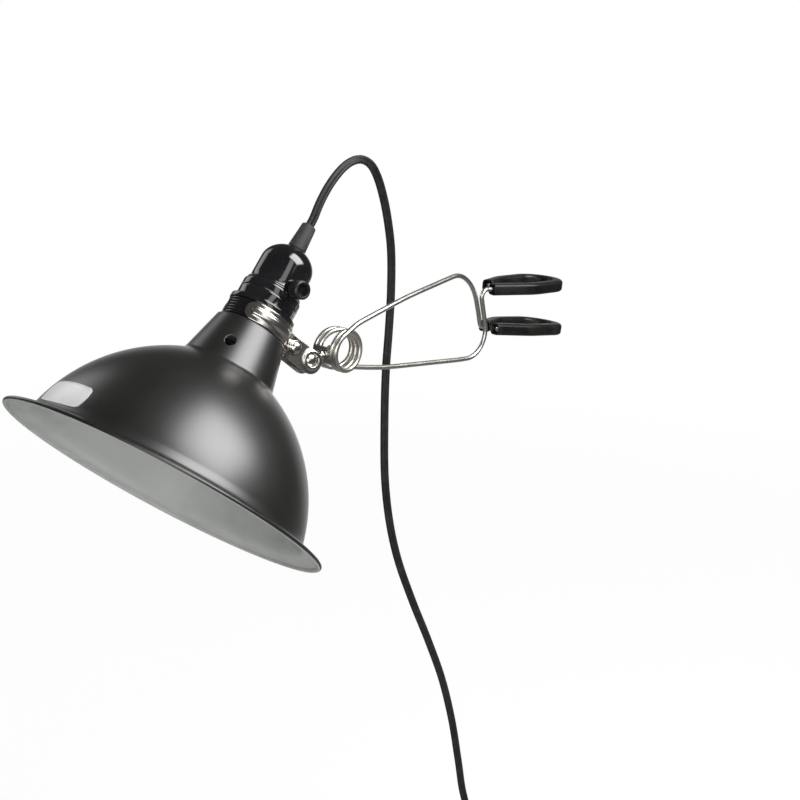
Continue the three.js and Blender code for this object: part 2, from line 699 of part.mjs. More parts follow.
function cordGrip() {
  const top = CAP_TOP + GRIP_LENGTH;
  const slot = CORD_WIDTH / 2 + CLEARANCE;
  return revolve([
    [slot, CAP_TOP],
    [GRIP_BASE_R, CAP_TOP],
    [GRIP_TOP_R, top - 0.6],
    [GRIP_TOP_R - 0.6, top],
    [slot, top],
  ], 20);
}

function socketInsert() {
  const shellSeat = E27_CAP_R + CLEARANCE + SHELL_WALL;
  return revolve([
    [0, INSERT_BOTTOM + 3],
    [E27_CAP_R - 3, INSERT_BOTTOM + 3],
    [E27_CAP_R - 3, INSERT_BOTTOM],
    [shellSeat, INSERT_BOTTOM],
    [INSERT_R, INSERT_BOTTOM],
    [INSERT_R, INSERT_TOP],
    [0, INSERT_TOP],
  ], 28);
}

function screwShell() {
  const bore = E27_CAP_R + CLEARANCE;
  const top = INSERT_BOTTOM - CLEARANCE;
  const bottom = top - E27_CAP_LENGTH + 2;
  return revolve([
    [bore, bottom],
    [bore + SHELL_WALL, bottom],
    [bore + SHELL_WALL, top],
    [bore - 1.6, top],
    [bore - 1.6, top - SHELL_WALL],
    [bore, top - SHELL_WALL],
  ], 28);
}

// The strip that the bulb's tip presses on, bent down from the insert.
function centreContact() {
  const width = 5;
  const path = [v2(-6, 3), v2(-5, 3), v2(-2.5, 0.9), v2(3, 0.9), v2(3, 1.4), v2(-2.2, 1.4), v2(-4.7, 3.6), v2(-6, 3.6)];
  const strip = prism(new THREE.Shape(path), width).rotateX(Math.PI / 2);
  return strip.translate(0, width / 2, INSERT_BOTTOM - 0.9);
}

function terminalScrew(side) {
  const headR = 2.4;
  return revolve([
    [0, INSERT_TOP + CLEARANCE],
    [headR, INSERT_TOP + CLEARANCE],
    [headR, INSERT_TOP + 2],
    [0, INSERT_TOP + 2],
  ], 14).translate(0, side * 8, 0);
}

function bulbPieces() {
  const top = INSERT_BOTTOM - 0.9;
  const capTop = top - 3;
  const capBottom = capTop - E27_CAP_LENGTH;
  const glassTop = capBottom - CLEARANCE;
  const ballZ = top - BULB_LENGTH + BULB_R;
  const neckR = E27_CAP_R - 1;
  const meet = THREE.MathUtils.radToDeg(Math.asin(0.82));
  const cap = revolve([
    [0, capTop - 1.5],
    [7, capTop - 1.5],
    [7, capTop],
    [9, capTop],
    [E27_CAP_R, capTop - 3],
    [E27_CAP_R, capBottom],
    [0, capBottom],
  ], 28);
  const contact = revolve([[0, capTop - 1.2], [5.2, capTop - 1.2], [4.6, top - CLEARANCE], [0, top - CLEARANCE]], 16);
  const glass = revolve([
    [0, ballZ - BULB_R],
    ...arc(0, ballZ, BULB_R, -78, meet, 10),
    [neckR, glassTop - 2],
    [neckR, glassTop],
    [0, glassTop],
  ], 24);
  return [
    finish('bulb_glass', glass, 0xf2f0ea, 0.4),
    finish('bulb_cap', cap, 0xb8b8b4, 0.4, 1),
    brass('bulb_contact', contact),
  ];
}

function socketPieces() {
  return [
    bakelite('socket_mantle', socketMantle()),
    bakelite('socket_cap', socketCap()),
    finish('socket_insert', socketInsert(), 0xe9e6dd, 0.6),
    brass('screw_shell', screwShell()),
    brass('centre_contact', centreContact()),
    brass('terminal_screw_left', terminalScrew(-1)),
    brass('terminal_screw_right', terminalScrew(1)),
    finish('cord_grip', cordGrip(), 0x3a3a3a, 0.75),
    finish('switch_spindle', switchSpindle(), 0xa8a8a4, 0.4, 1),
    bakelite('switch_knob', switchKnob()),
  ];
}

// ---------------------------------------------------------------- head: shade

// The shade's outside from the neck's top edge to the rim: cone, spun dome on one arc, flared lip.
function shadeOutside() {
  const chord = v2(LIP_START_R - NECK_BASE_R, LIP_START - NECK_BASE);
  const middle = v2(NECK_BASE_R, NECK_BASE).addScaledVector(chord, 0.5);
  const inward = v2(chord.y, -chord.x).normalize();
  const height = Math.sqrt(DOME_ARC_R ** 2 - chord.lengthSq() / 4);
  const centre = middle.addScaledVector(inward, height);
  const angle = (r, z) => THREE.MathUtils.radToDeg(Math.atan2(z - centre.y, r - centre.x));
  return [
    [NECK_TOP_R - 0.8, NECK_TOP],
    [NECK_TOP_R, NECK_TOP - 0.8],
    [NECK_BASE_R, NECK_BASE],
    ...arc(centre.x, centre.y, DOME_ARC_R, angle(NECK_BASE_R, NECK_BASE), angle(LIP_START_R, LIP_START), 7).slice(1),
    [LIP_START_R + 1.6, LIP_START - 3],
    [LIP_START_R + 5, LIP_START - 5.2],
    [RIM_R - BEAD_R, RIM_Z + BEAD_R * 1.6],
  ];
}

function shade() {
  const outside = shadeOutside();
  const inside = offset(outside, SHADE_WALL).reverse();
  const bead = arc(RIM_R, RIM_Z, BEAD_R, 100, -160, 4);
  const topOpening = MANTLE_R + CLEARANCE;
  const shell = revolve([
    [topOpening, NECK_TOP],
    ...outside,
    ...bead,
    ...inside.slice(0, -1),
    [NECK_TOP_R - SHADE_WALL, NECK_TOP - SHADE_WALL],
    [topOpening, NECK_TOP - SHADE_WALL],
  ], 36);
  const vents = VENT_ANGLES.map((angle) => {
    const a = degToRad(angle);
    const out = v3(Math.cos(a), Math.sin(a), 0);
    const level = v3(0, 0, VENT_Z);
    return bar(VENT_D / 2, out.clone().multiplyScalar(MANTLE_R + 1).add(level),
      out.clone().multiplyScalar(NECK_BASE_R + 6).add(level), 16);
  });
  return cut(shell, ...vents);
}

// The nut on the mantle's thread that draws the shade up, its edge on the inside of the neck.
function shadeRing() {
  const slope = (NECK_BASE_R - NECK_TOP_R) / (NECK_TOP - NECK_BASE);
  const neckInside = (z) => NECK_TOP_R + (NECK_TOP - z) * slope - SHADE_WALL * Math.hypot(1, slope);
  const bore = MANTLE_R + CLEARANCE;
  return revolve([
    [bore, RING_Z - RING_H],
    [neckInside(RING_Z - RING_H) - CLEARANCE, RING_Z - RING_H],
    [neckInside(RING_Z) - CLEARANCE, RING_Z],
    [bore, RING_Z],
  ], 36);
}

// ---------------------------------------------------------------- head assembly

function head() {
  const group = new THREE.Group();
  group.position.copy(ballCentre);
  group.rotation.set(0, degToRad(HEAD_TILT), -degToRad(HEAD_TURN));
  const aboutSocket = new THREE.Group();
  aboutSocket.position.set(-LINK_LENGTH, 0, 0);
  const half = clampHalf();
  const mirrored = half.clone().scale(1, -1, 1);
  aboutSocket.add(
    nickel('clamp_half_rear', half),
    nickel('clamp_half_front', mirrored),
    nickel('clamp_screw', clampScrew()),
    nickel('clamp_nut', clampNut()),
    ...socketPieces(),
    ...bulbPieces(),
    finish('shade', shade(), 0x1a1a1a, 0.4, 0.2),
    bakelite('shade_ring', shadeRing()),
  );
  group.add(aboutSocket);
  return group;
}

// ---------------------------------------------------------------- mains lead

// The lead's centre line: up out of the grip and over in an arch, down behind the clip, and in a long
// bend to the floor and the side of the coil.
const CORD_POINTS = [
  [-239.3, 13.2, 51.4],
  [-236.6, 13.2, 55.2],
  [-231.7, 13.4, 64.4],
  [-223.7, 13.6, 75.4],
  [-213.6, 13.8, 84.6],
  [-205.1, 14, 88.9],
  [-196.2, 14.1, 90],
  [-187.4, 14.2, 86.8],
  [-180, 14.5, 79.2],
  [-171.5, 15, 64.7],
  [-165, 15.3, 48.7],
  [-160.2, 15.6, 32.5],
  [-156.6, 16, 6],
  [-155.7, 16, -20],
  [-155.5, 16, -47],
  [-153.5, 15.5, -81.2],
  [-149.2, 14.5, -123.4],
  [-141.8, 13, -156.5],
  [-132.5, 11, -183.4],
  [-116.8, 8, -216],
  [-98, 5, -250.6],
  [-81, 2, -285],
  [-68, -1, -321],
  [-59, -4, -356],
  [-52, -7, -386],
  [-43, -11, -409],
  [-32.5, -17, -423],
  [-26, -25, -427],
  [-26.5, -36, -427],
];
const CORD_ARCH_LENGTH = 74; // of the lead, as far as it follows the head
const CORD_COIL_AT = v3(-65, -50, 0);
const TIE_T = 0.8;
const TIE_WIDTH = 6;
const cordCoilBottom = FLOOR_Z + TIE_T + CLEARANCE;

const lead = new THREE.CatmullRomCurve3(CORD_POINTS.map(([x, y, z]) => v3(x, y, z)));

// A stretch of the lead, between two lengths along it.
function leadTube(from, to, steps) {
  const whole = lead.getLength();
  const at = (i) => (from + ((to - from) * i) / steps) / whole;
  const stations = Array.from({ length: steps + 1 }, (_, i) => lead.getPointAt(at(i)));
  const tangents = Array.from({ length: steps + 1 }, (_, i) => lead.getTangentAt(at(i)));
  const section = new THREE.Shape(polygon(CORD_WIDTH / 2, 8));
  return sweep(section, new StationPath(stations, tangents, v3(0, 1, 0)));
}

function cordCoil() {
  const half = CORD_COIL_WIDTH / 2;
  const ring = revolve([
    [CORD_COIL_MEAN_R - half, 0],
    [CORD_COIL_MEAN_R + half, 0],
    [CORD_COIL_MEAN_R + half, CORD_COIL_HEIGHT],
    [CORD_COIL_MEAN_R - half, CORD_COIL_HEIGHT],
  ], 32);
  return ring.translate(CORD_COIL_AT.x, CORD_COIL_AT.y, cordCoilBottom);
}

// A band round the turns, on the coil's far side from the clip.
function cordTie() {
  const frame = (width, height) => [
    v2(-width / 2, -height / 2), v2(width / 2, -height / 2), v2(width / 2, height / 2), v2(-width / 2, height / 2)];
  const inside = [CORD_COIL_WIDTH + 4 * CLEARANCE, CORD_COIL_HEIGHT + 2 * CLEARANCE];
  const section = new THREE.Shape(frame(inside[0] + 2 * TIE_T, inside[1] + 2 * TIE_T));
  section.holes.push(new THREE.Path(frame(...inside)));
  const band = prism(section, TIE_WIDTH).rotateX(Math.PI / 2).rotateZ(Math.PI / 2);
  const middle = cordCoilBottom + CORD_COIL_HEIGHT / 2;
  return band.translate(CORD_COIL_AT.x - TIE_WIDTH / 2, CORD_COIL_AT.y - CORD_COIL_MEAN_R, middle);
}

// The flat two-pin plug lies beside the coil with its pins away from it, along +Y.
function plugPieces() {
  const halfWidth = PLUG_WIDTH / 2;
  const halfRear = CORD_WIDTH;
  const rear = CORD_COIL_AT.y + Math.sqrt((CORD_COIL_MEAN_R + CORD_COIL_WIDTH / 2) ** 2
    - (CORD_COIL_MEAN_R + CORD_COIL_WIDTH / 3) ** 2) + 2 * CLEARANCE;
  const outline = [
    [halfRear, 0], [halfRear + 1, PLUG_LENGTH * 0.45], [halfWidth, PLUG_LENGTH * 0.7],
    [halfWidth, PLUG_LENGTH], [-halfWidth, PLUG_LENGTH], [-halfWidth, PLUG_LENGTH * 0.7],
    [-halfRear - 1, PLUG_LENGTH * 0.45], [-halfRear, 0],
  ];
  const bevel = 2;
  const body = new THREE.ExtrudeGeometry(new THREE.Shape(outline.map(([x, y]) => v2(x, y))), {
    depth: PLUG_THICKNESS - 2 * bevel, bevelThickness: bevel, bevelSize: bevel, bevelOffset: -bevel, bevelSegments: 2,
  });
  const x = CORD_COIL_AT.x - CORD_COIL_MEAN_R - CORD_COIL_WIDTH / 2 - CORD_WIDTH / 2;
  body.translate(x, rear, FLOOR_Z + bevel);
  const pin = (side) => {
    const start = v3(x + (side * PIN_SPACING) / 2, rear + PLUG_LENGTH + CLEARANCE, FLOOR_Z + PLUG_THICKNESS / 2);
    return bar(PIN_D / 2, start, start.clone().add(v3(0, PIN_LENGTH, 0)), 14);
  };
  return [
    blackPlastic('plug_body', body),
    nickel('plug_pin_left', pin(-1)),
    nickel('plug_pin_right', pin(1)),
  ];
}

function leadPieces() {
  return [
    blackPlastic('cord_upper', leadTube(0, CORD_ARCH_LENGTH, 8)),
    blackPlastic('cord_lower', leadTube(CORD_ARCH_LENGTH + CLEARANCE, lead.getLength(), 50)),
    blackPlastic('cord_coil', cordCoil()),
    blackPlastic('cord_tie', cordTie()),
    ...plugPieces(),
  ];
}

// ---------------------------------------------------------------- the lamp

const lamp = new THREE.Group();
const fromMouth = new THREE.Group();
fromMouth.position.x = -UPPER_JAW_REACH;
fromMouth.add(...clipPieces(), ...studPieces(), head());
lamp.add(fromMouth, ...leadPieces());

export default lamp;
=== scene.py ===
"""Clip-on reading lamp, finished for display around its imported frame.

Every mesh is built in metres in the frame's own axes: +X runs out along the jaws, +Z is up, and the
origin is the middle of the flat underside of the upper jaw's rounded tip. Sizes are written in
millimetres, as a maker would, and turned into metres once by `mm`.
"""
import sys
import logging
import math
from dataclasses import dataclass, field
from enum import Enum
from itertools import accumulate, pairwise
from typing import Any, Callable, Sequence

import bmesh
import bpy
from mathutils import Matrix, Vector


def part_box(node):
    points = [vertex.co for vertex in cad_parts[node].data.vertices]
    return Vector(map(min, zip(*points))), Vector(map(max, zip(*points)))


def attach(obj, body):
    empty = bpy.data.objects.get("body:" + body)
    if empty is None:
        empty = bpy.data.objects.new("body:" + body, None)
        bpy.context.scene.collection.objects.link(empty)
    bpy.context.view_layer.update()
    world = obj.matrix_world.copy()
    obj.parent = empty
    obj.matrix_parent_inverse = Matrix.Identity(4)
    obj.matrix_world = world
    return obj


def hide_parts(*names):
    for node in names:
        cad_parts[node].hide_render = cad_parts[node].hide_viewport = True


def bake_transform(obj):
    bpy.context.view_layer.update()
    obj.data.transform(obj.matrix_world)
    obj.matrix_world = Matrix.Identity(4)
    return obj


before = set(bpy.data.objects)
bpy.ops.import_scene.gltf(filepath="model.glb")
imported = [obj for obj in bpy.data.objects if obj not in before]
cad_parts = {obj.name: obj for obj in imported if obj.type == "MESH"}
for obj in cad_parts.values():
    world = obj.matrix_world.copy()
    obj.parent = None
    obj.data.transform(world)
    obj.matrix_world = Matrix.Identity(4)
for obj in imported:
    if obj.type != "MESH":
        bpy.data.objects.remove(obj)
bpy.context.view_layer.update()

log = logging.getLogger("reading_lamp")
MM = 0.001
RGB = tuple[float, float, float]
Profile = list[tuple[float, float]]
Sockets = dict[str, bpy.types.NodeSocket]
Z_AXIS = Vector((0, 0, 1))


def mm(x: float, y: float, z: float) -> Vector:
    """Returns a point given in millimetres as a vector in metres."""
    return Vector((x, y, z)) * MM


def polar(radius: float, angle: float, height: float) -> Vector:
    """Returns a point in metres, given a radius and a height in mm and an angle in radians."""
    return mm(radius * math.cos(angle), radius * math.sin(angle), height)


def moved(x: float, y: float, z: float) -> Matrix:
    """Returns a move by millimetres."""
    return Matrix.Translation(mm(x, y, z))


def turned_by(degrees: float, axis: str) -> Matrix:
    """Returns a turn about one axis."""
    return Matrix.Rotation(math.radians(degrees), 4, axis)


def eased(share: float) -> float:
    """Returns a share held between 0 and 1, with a soft start and end."""
    held = min(max(share, 0.0), 1.0)
    return held * held * (3 - 2 * held)


def distances(line: Sequence[Vector]) -> list[float]:
    """Returns how far along a line each of its points is."""
    return list(accumulate(((b - a).length for a, b in pairwise(line)), initial=0.0))


class Body(Enum):
    """The rigid bodies of the frame that pieces ride on."""

    CLIP = "clip"
    SQUEEZE_ARM = "squeeze_arm"
    STUD = "stud"
    HEAD = "head"
    KNOB = "knob"


@dataclass
class Graph:
    """A node tree, with short ways to fill it."""

    tree: bpy.types.NodeTree

    def add(self, kind: str, inputs: dict[Any, Any] | None = None, **settings: Any) -> bpy.types.Node:
        """Adds a node.

        Args:
            kind: Its type, without the leading "ShaderNode".
            inputs: A value, or a socket to link from, for each input named or numbered here.
            settings: Properties of the node.

        Returns:
            The node.
        """
        node = self.tree.nodes.new("ShaderNode" + kind)
        for name, value in settings.items():
            setattr(node, name, value)
        self.feed(node, inputs or {})
        return node

    def feed(self, node: bpy.types.Node, inputs: dict[Any, Any]) -> None:
        """Gives inputs of a node their values.

        Args:
            node: The node.
            inputs: A value, or a socket to link from, for each input.
        """
        for key, value in inputs.items():
            if isinstance(value, bpy.types.NodeSocket):
                self.tree.links.new(value, node.inputs[key])
            else:
                node.inputs[key].default_value = value

    def maths(self, operation: str, *values: Any, clamp: bool = False) -> bpy.types.NodeSocket:
        """Returns what an operation makes of one or two values."""
        node = self.add("Math", dict(enumerate(values)), operation=operation, use_clamp=clamp)
        return node.outputs["Value"]

    def vector(self, operation: str, *values: Any) -> bpy.types.NodeSocket:
        """Returns what an operation makes of one or two vectors."""
        node = self.add("VectorMath", dict(enumerate(values)), operation=operation)
        return node.outputs["Value" if operation in ("LENGTH", "DOT_PRODUCT") else "Vector"]

    def ramp(self, value: bpy.types.NodeSocket, low: Any, high: float, start: Any = 0.0, end: Any = 1.0,
             kind: str = "SMOOTHSTEP") -> bpy.types.NodeSocket:
        """Carries a value from one range to another.

        Args:
            value: The value.
            low: Where its range starts.
            high: Where its range ends.
            start: What low becomes.
            end: What high becomes.
            kind: SMOOTHSTEP or LINEAR.

        Returns:
            The result.
        """
        inputs = {"Value": value, "From Min": low, "From Max": high, "To Min": start, "To Max": end}
        return self.add("MapRange", inputs, interpolation_type=kind).outputs["Result"]


def shared_group(name: str, inputs: dict[str, str], outputs: dict[str, str],
                 fill: Callable[[Graph, Sockets], Sockets]) -> bpy.types.NodeTree:
    """Builds a shared node group, once.

    Args:
        name: Its name.
        inputs: The kind of each of its inputs.
        outputs: The kind of each of its outputs.
        fill: Adds its nodes, given the inputs' sockets, and returns the socket behind each output.

    Returns:
        The group.
    """
    if name in bpy.data.node_groups:
        return bpy.data.node_groups[name]
    group = bpy.data.node_groups.new(name, "ShaderNodeTree")
    for way, sockets in (("INPUT", inputs), ("OUTPUT", outputs)):
        for socket, kind in sockets.items():
            group.interface.new_socket(name=socket, in_out=way, socket_type="NodeSocket" + kind)
    entry, graph = group.nodes.new("NodeGroupInput"), Graph(group)
    graph.feed(group.nodes.new("NodeGroupOutput"), fill(graph, {name: entry.outputs[name] for name in inputs}))
    return group


def fill_grain(graph: Graph, given: Sockets) -> Sockets:
    """Adds the nodes for the fine height of a moulded or coated face.

    Args:
        graph: The group's graph.
        given: Scale and Stretch.

    Returns:
        Height.
    """
    place = graph.vector("MULTIPLY", graph.add("TexCoord").outputs["Object"], given["Stretch"])
    noise = graph.add("TexNoise", {"Vector": place, "Scale": given["Scale"], "Detail": 3})
    return {"Height": noise.outputs["Fac"]}


def fill_handling(graph: Graph, given: Sockets) -> Sockets:
    """Adds the nodes for uneven colour and gloss left by handling and dust.

    Args:
        graph: The group's graph.
        given: Colour, Tint, Smooth, Rough, Scale and Edge.

    Returns:
        Colour and Roughness.
    """
    cloud = graph.add("TexNoise", {"Vector": graph.add("TexCoord").outputs["Object"], "Scale": given["Scale"],
                                   "Detail": 6, "Roughness": 0.62})
    spread = graph.ramp(cloud.outputs["Fac"], 0.38, 0.66)
    sharp = graph.ramp(graph.add("NewGeometry").outputs["Pointiness"], 0.52, 0.6, kind="LINEAR")
    share = graph.maths("ADD", spread, graph.maths("MULTIPLY", sharp, given["Edge"]), clamp=True)
    tinted = graph.add("Mix", {"Factor": share, "A": given["Colour"], "B": given["Tint"]}, data_type="RGBA")
    gloss = graph.ramp(spread, 0.0, 1.0, given["Smooth"], given["Rough"], kind="LINEAR")
    return {"Colour": tinted.outputs["Result"], "Roughness": gloss}


@dataclass(frozen=True)
class Finish:
    """How a surface is finished: its two colours, gloss and fine relief."""

    name: str
    slot: str
    colour: RGB
    tint: RGB
    smooth: float
    rough: float
    metallic: float = 0.0
    cloud_scale: float = 60.0
    grain_scale: float = 900.0
    grain_stretch: RGB = (1.0, 1.0, 1.0)
    grain_depth: float = 0.02
    edge: float = 0.0
    coat: float = 0.0
    coat_roughness: float = 0.05
    specular: float = 0.5
    transmission: float = 0.0

    def material(self) -> bpy.types.Material:
        """Builds the procedural material, or finds the one already built.

        Returns:
            The material, with its shared groups feeding a Principled shader.
        """
        if self.name in bpy.data.materials:
            return bpy.data.materials[self.name]
        material = bpy.data.materials.new(self.name)
        material.use_nodes = True
        graph = Graph(material.node_tree)
        kinds = {"Colour": "Color", "Tint": "Color", "Smooth": "Float", "Rough": "Float", "Scale": "Float",
                 "Edge": "Float"}
        handling = graph.add("Group", {
            "Colour": (*self.colour, 1), "Tint": (*self.tint, 1), "Smooth": self.smooth, "Rough": self.rough,
            "Scale": self.cloud_scale, "Edge": self.edge,
        }, node_tree=shared_group("Handling", kinds, {"Colour": "Color", "Roughness": "Float"}, fill_handling))
        grain = graph.add("Group", {"Scale": self.grain_scale, "Stretch": self.grain_stretch},
                          node_tree=shared_group("Fine grain", {"Scale": "Float", "Stretch": "Vector"},
                                                 {"Height": "Float"}, fill_grain))
        bump = graph.add("Bump", {"Strength": 1, "Distance": self.grain_depth * MM,
                                  "Height": grain.outputs["Height"]})
        graph.feed(material.node_tree.nodes["Principled BSDF"], {
            "Metallic": self.metallic, "Coat Weight": self.coat, "Coat Roughness": self.coat_roughness,
            "Specular IOR Level": self.specular, "Transmission Weight": self.transmission,
            "Base Color": handling.outputs["Colour"], "Roughness": handling.outputs["Roughness"],
            "Normal": bump.outputs["Normal"]})
        return material


SPRING_NICKEL = Finish("Nickel wire", "spring_wire", (0.8, 0.775, 0.735), (0.72, 0.69, 0.64), 0.31, 0.4,
                       metallic=1, cloud_scale=45, grain_scale=1400, grain_depth=0.001)
NICKEL = Finish("Nickel plate", "nickel_parts", (0.76, 0.74, 0.7), (0.66, 0.63, 0.58), 0.16, 0.24,
                metallic=1, cloud_scale=90, grain_scale=1100, grain_depth=0.004)
PLATE_STEEL = Finish("Bare plate", "nickel_parts", (0.9, 0.9, 0.9), (0.84, 0.84, 0.84), 0.44, 0.48,
                     metallic=0.45, cloud_scale=40, grain_scale=2200, grain_depth=0.006)
JAW_RUBBER = Finish("Jaw rubber", "jaw_rubber", (0.004, 0.004, 0.004), (0.01, 0.01, 0.009), 0.34, 0.46,
                    cloud_scale=70, grain_scale=700, grain_depth=0.05, edge=0.2, specular=0.5)
SHADE_BLACK = Finish("Satin black lacquer", "shade_black", (0.005, 0.0051, 0.0044), (0.007, 0.007, 0.006),
                     0.36, 0.4, cloud_scale=26, grain_scale=1500, grain_depth=0.012, edge=0.1, coat=1,
                     coat_roughness=0.34, specular=0.8)
SHADE_GREY = Finish("Satin grey lining", "shade_black", (0.36, 0.37, 0.355), (0.31, 0.32, 0.305),
                    0.42, 0.5, cloud_scale=20, grain_scale=1500, grain_depth=0.012)
BAKELITE = Finish("Black bakelite", "bakelite", (0.006, 0.006, 0.007), (0.01, 0.01, 0.011), 0.05, 0.11,
                  cloud_scale=50, grain_scale=260, grain_depth=0.02, edge=0.1, coat=0.3, specular=1.0)
KNOB_BLACK = Finish("Knob moulding", "bakelite", (0.01, 0.01, 0.01), (0.016, 0.016, 0.016), 0.26, 0.36,
                    cloud_scale=180, grain_scale=900, grain_depth=0.02, edge=0.3)
GRIP_GREY = Finish("Grip plastic", "grip_plastic", (0.032, 0.032, 0.031), (0.046, 0.046, 0.045), 0.55, 0.7,
                   cloud_scale=220, grain_scale=2600, grain_depth=0.06, edge=0.3, specular=0.4)
CORD_BLACK = Finish("Cord sheath", "cord_pvc", (0.013, 0.013, 0.013), (0.02, 0.02, 0.02), 0.44, 0.56,
                    cloud_scale=120, grain_scale=900, grain_depth=0.03, specular=0.4)
PLUG_BLACK = Finish("Plug moulding", "plug_plastic", (0.012, 0.012, 0.012), (0.024, 0.024, 0.024), 0.4, 0.55,
                    cloud_scale=90, grain_scale=1800, grain_depth=0.05, edge=0.3)
TIE_BLACK = Finish("Tie strap", "tie_plastic", (0.014, 0.014, 0.014), (0.03, 0.03, 0.03), 0.45, 0.6,
                   cloud_scale=200, grain_scale=1500, grain_stretch=(4, 1, 1), grain_depth=0.1)
PORCELAIN = Finish("Porcelain", "porcelain", (0.78, 0.76, 0.7), (0.68, 0.65, 0.58), 0.35, 0.6,
                   cloud_scale=150, grain_scale=900, grain_depth=0.05, edge=0.3)
BRASS = Finish("Contact brass", "brass_contacts", (0.62, 0.44, 0.17), (0.45, 0.3, 0.12), 0.22, 0.38,
               metallic=1, cloud_scale=200, grain_scale=1600, grain_depth=0.03)
PLAIN_STEEL = Finish("Spindle steel", "steel_small", (0.5, 0.5, 0.48), (0.38, 0.37, 0.35), 0.3, 0.45,
                     metallic=1, cloud_scale=200, grain_scale=1600, grain_depth=0.03)
CAP_METAL = Finish("Bulb cap metal", "lamp_cap", (0.68, 0.68, 0.66), (0.5, 0.5, 0.48), 0.25, 0.4,
                   metallic=1, cloud_scale=160, grain_scale=1500, grain_depth=0.03)
OPAL = Finish("Opal glass", "opal_glass", (0.86, 0.85, 0.81), (0.82, 0.81, 0.76), 0.12, 0.22,
              cloud_scale=40, grain_scale=300, grain_depth=0.01, transmission=0.2)

CAD_FINISHES: dict[Finish, tuple[str, ...]] = {
    NICKEL: ("coil_saddle_outer", "coil_saddle_inner", "stud_nut", "clamp_nut", "plug_pin_left",
             "plug_pin_right"),
    PORCELAIN: ("socket_insert",),
    BRASS: ("screw_shell", "centre_contact", "terminal_screw_left", "terminal_screw_right", "bulb_contact"),
    PLAIN_STEEL: ("switch_spindle",),
    BAKELITE: ("shade_ring",),
    TIE_BLACK: ("cord_tie",),
}


def linked(name: str, data: bpy.types.ID) -> bpy.types.Object:
    """Makes an object and links it to the scene.

    Args:
        name: Its name.
        data: Its mesh, light or camera.

    Returns:
        The object.
    """
    obj = bpy.data.objects.new(name, data)
    bpy.context.scene.collection.objects.link(obj)
    return obj


@dataclass
class Surface:
    """Vertices and faces gathered for one piece, with the finish number of each face."""

    points: list[Vector] = field(default_factory=list)
    faces: list[tuple[int, ...]] = field(default_factory=list)
    finishes: list[int] = field(default_factory=list)

    @classmethod
    def wrapped(cls, rows: Sequence[Sequence[Vector]], along: bool = True,
                finish: Callable[[int], int] = lambda row: 0) -> "Surface":
        """Joins closed rows of points with quads.

        Args:
            rows: Rows of equal length.
            along: Whether the last row joins the first.
            finish: The finish number of the faces that start at a row.

        Returns:
            The surface.
        """
        surface = cls([point for row in rows for point in row])
        width, count = len(rows[0]), len(rows)
        for i in range(count if along else count - 1):
            a, b = i * width, (i + 1) % count * width
            for k in range(width):
                n = (k + 1) % width
                surface.faces.append((a + k, a + n, b + n, b + k))
                surface.finishes.append(finish(i))
        return surface

    @classmethod
    def tube(cls, rows: Sequence[Sequence[Vector]], first_hub: Vector, last_hub: Vector) -> "Surface":
        """Joins closed rows of points and closes both ends with fans.

        Args:
            rows: Rows of equal length.
            first_hub: The middle of the first row's fan.
            last_hub: The middle of the last row's fan.

        Returns:
            The closed surface.
        """
        surface, width = cls.wrapped(rows, along=False), len(rows[0])
        for base, hub in ((0, first_hub), ((len(rows) - 1) * width, last_hub)):
            for k in range(width):
                surface.faces.append((base + k, len(surface.points), base + (k + 1) % width))
                surface.finishes.append(0)
            surface.points.append(hub)
        return surface

    def formed(self, name: str, place: Matrix) -> bpy.types.Object:
        """Makes a bare object of the surface.

        Args:
            name: Its name.
            place: From the coordinates of the points to the frame.

        Returns:
            A linked object with its mesh in the frame's coordinates.
        """
        mesh = bpy.data.meshes.new(name)
        mesh.from_pydata([tuple(place @ p) for p in self.points], [], self.faces)
        mesh.polygons.foreach_set("material_index", self.finishes)
        return linked(name, mesh)

    def piece(self, name: str, finishes: Sequence[Finish], place: Matrix = Matrix.Identity(4),
              crease: float = 32) -> bpy.types.Object:
        """Makes a finished piece of the surface.

        Args:
            name: The piece's name.
            finishes: Its finishes, in the order that the faces' finish numbers count.
            place: From the coordinates of the points to the frame.
            crease: Edges that bend by more than this many degrees stay sharp.

        Returns:
            The piece.
        """
        obj = self.formed(name, place)
        tidy_mesh(obj, crease)
        for finish in finishes:
            obj.data.materials.append(finish.material())
        return obj


def tidy_mesh(obj: bpy.types.Object, crease: float) -> None:
    """Merges doubled points, turns the faces outward and smooths the shading.

    Args:
        obj: The object.
        crease: Edges that bend by more than this many degrees stay sharp.
    """
    work = bmesh.new()
    work.from_mesh(obj.data)
    bmesh.ops.remove_doubles(work, verts=work.verts, dist=1e-6)
    bmesh.ops.dissolve_degenerate(work, edges=work.edges, dist=1e-7)
    bmesh.ops.recalc_face_normals(work, faces=work.faces)
    work.to_mesh(obj.data)
    work.free()
    obj.data.shade_smooth()
    obj.data.set_sharp_from_angle(angle=math.radians(crease))


def combined(obj: bpy.types.Object, crease: float, cut: Sequence[bpy.types.Object],
             joined: Sequence[bpy.types.Object] = ()) -> None:
    """Joins bodies to a piece, cuts others from it, and removes them.

    Args:
        obj: The piece.
        crease: Sharp edge angle afterwards, in degrees.
        cut: Closed bodies to cut away.
        joined: Closed bodies to join first.
    """
    for operation, bodies in (("UNION", joined), ("DIFFERENCE", cut)):
        for body in bodies:
            step = obj.modifiers.new("step", "BOOLEAN")
            step.operation, step.object, step.solver = operation, body, "EXACT"
    bpy.context.view_layer.update()
    result = bpy.data.meshes.new_from_object(obj.evaluated_get(bpy.context.evaluated_depsgraph_get()))
    obj.modifiers.clear()
    old, obj.data = obj.data, result
    bpy.data.meshes.remove(old)
    for body in (*joined, *cut):
        bpy.data.objects.remove(body)
    tidy_mesh(obj, crease)


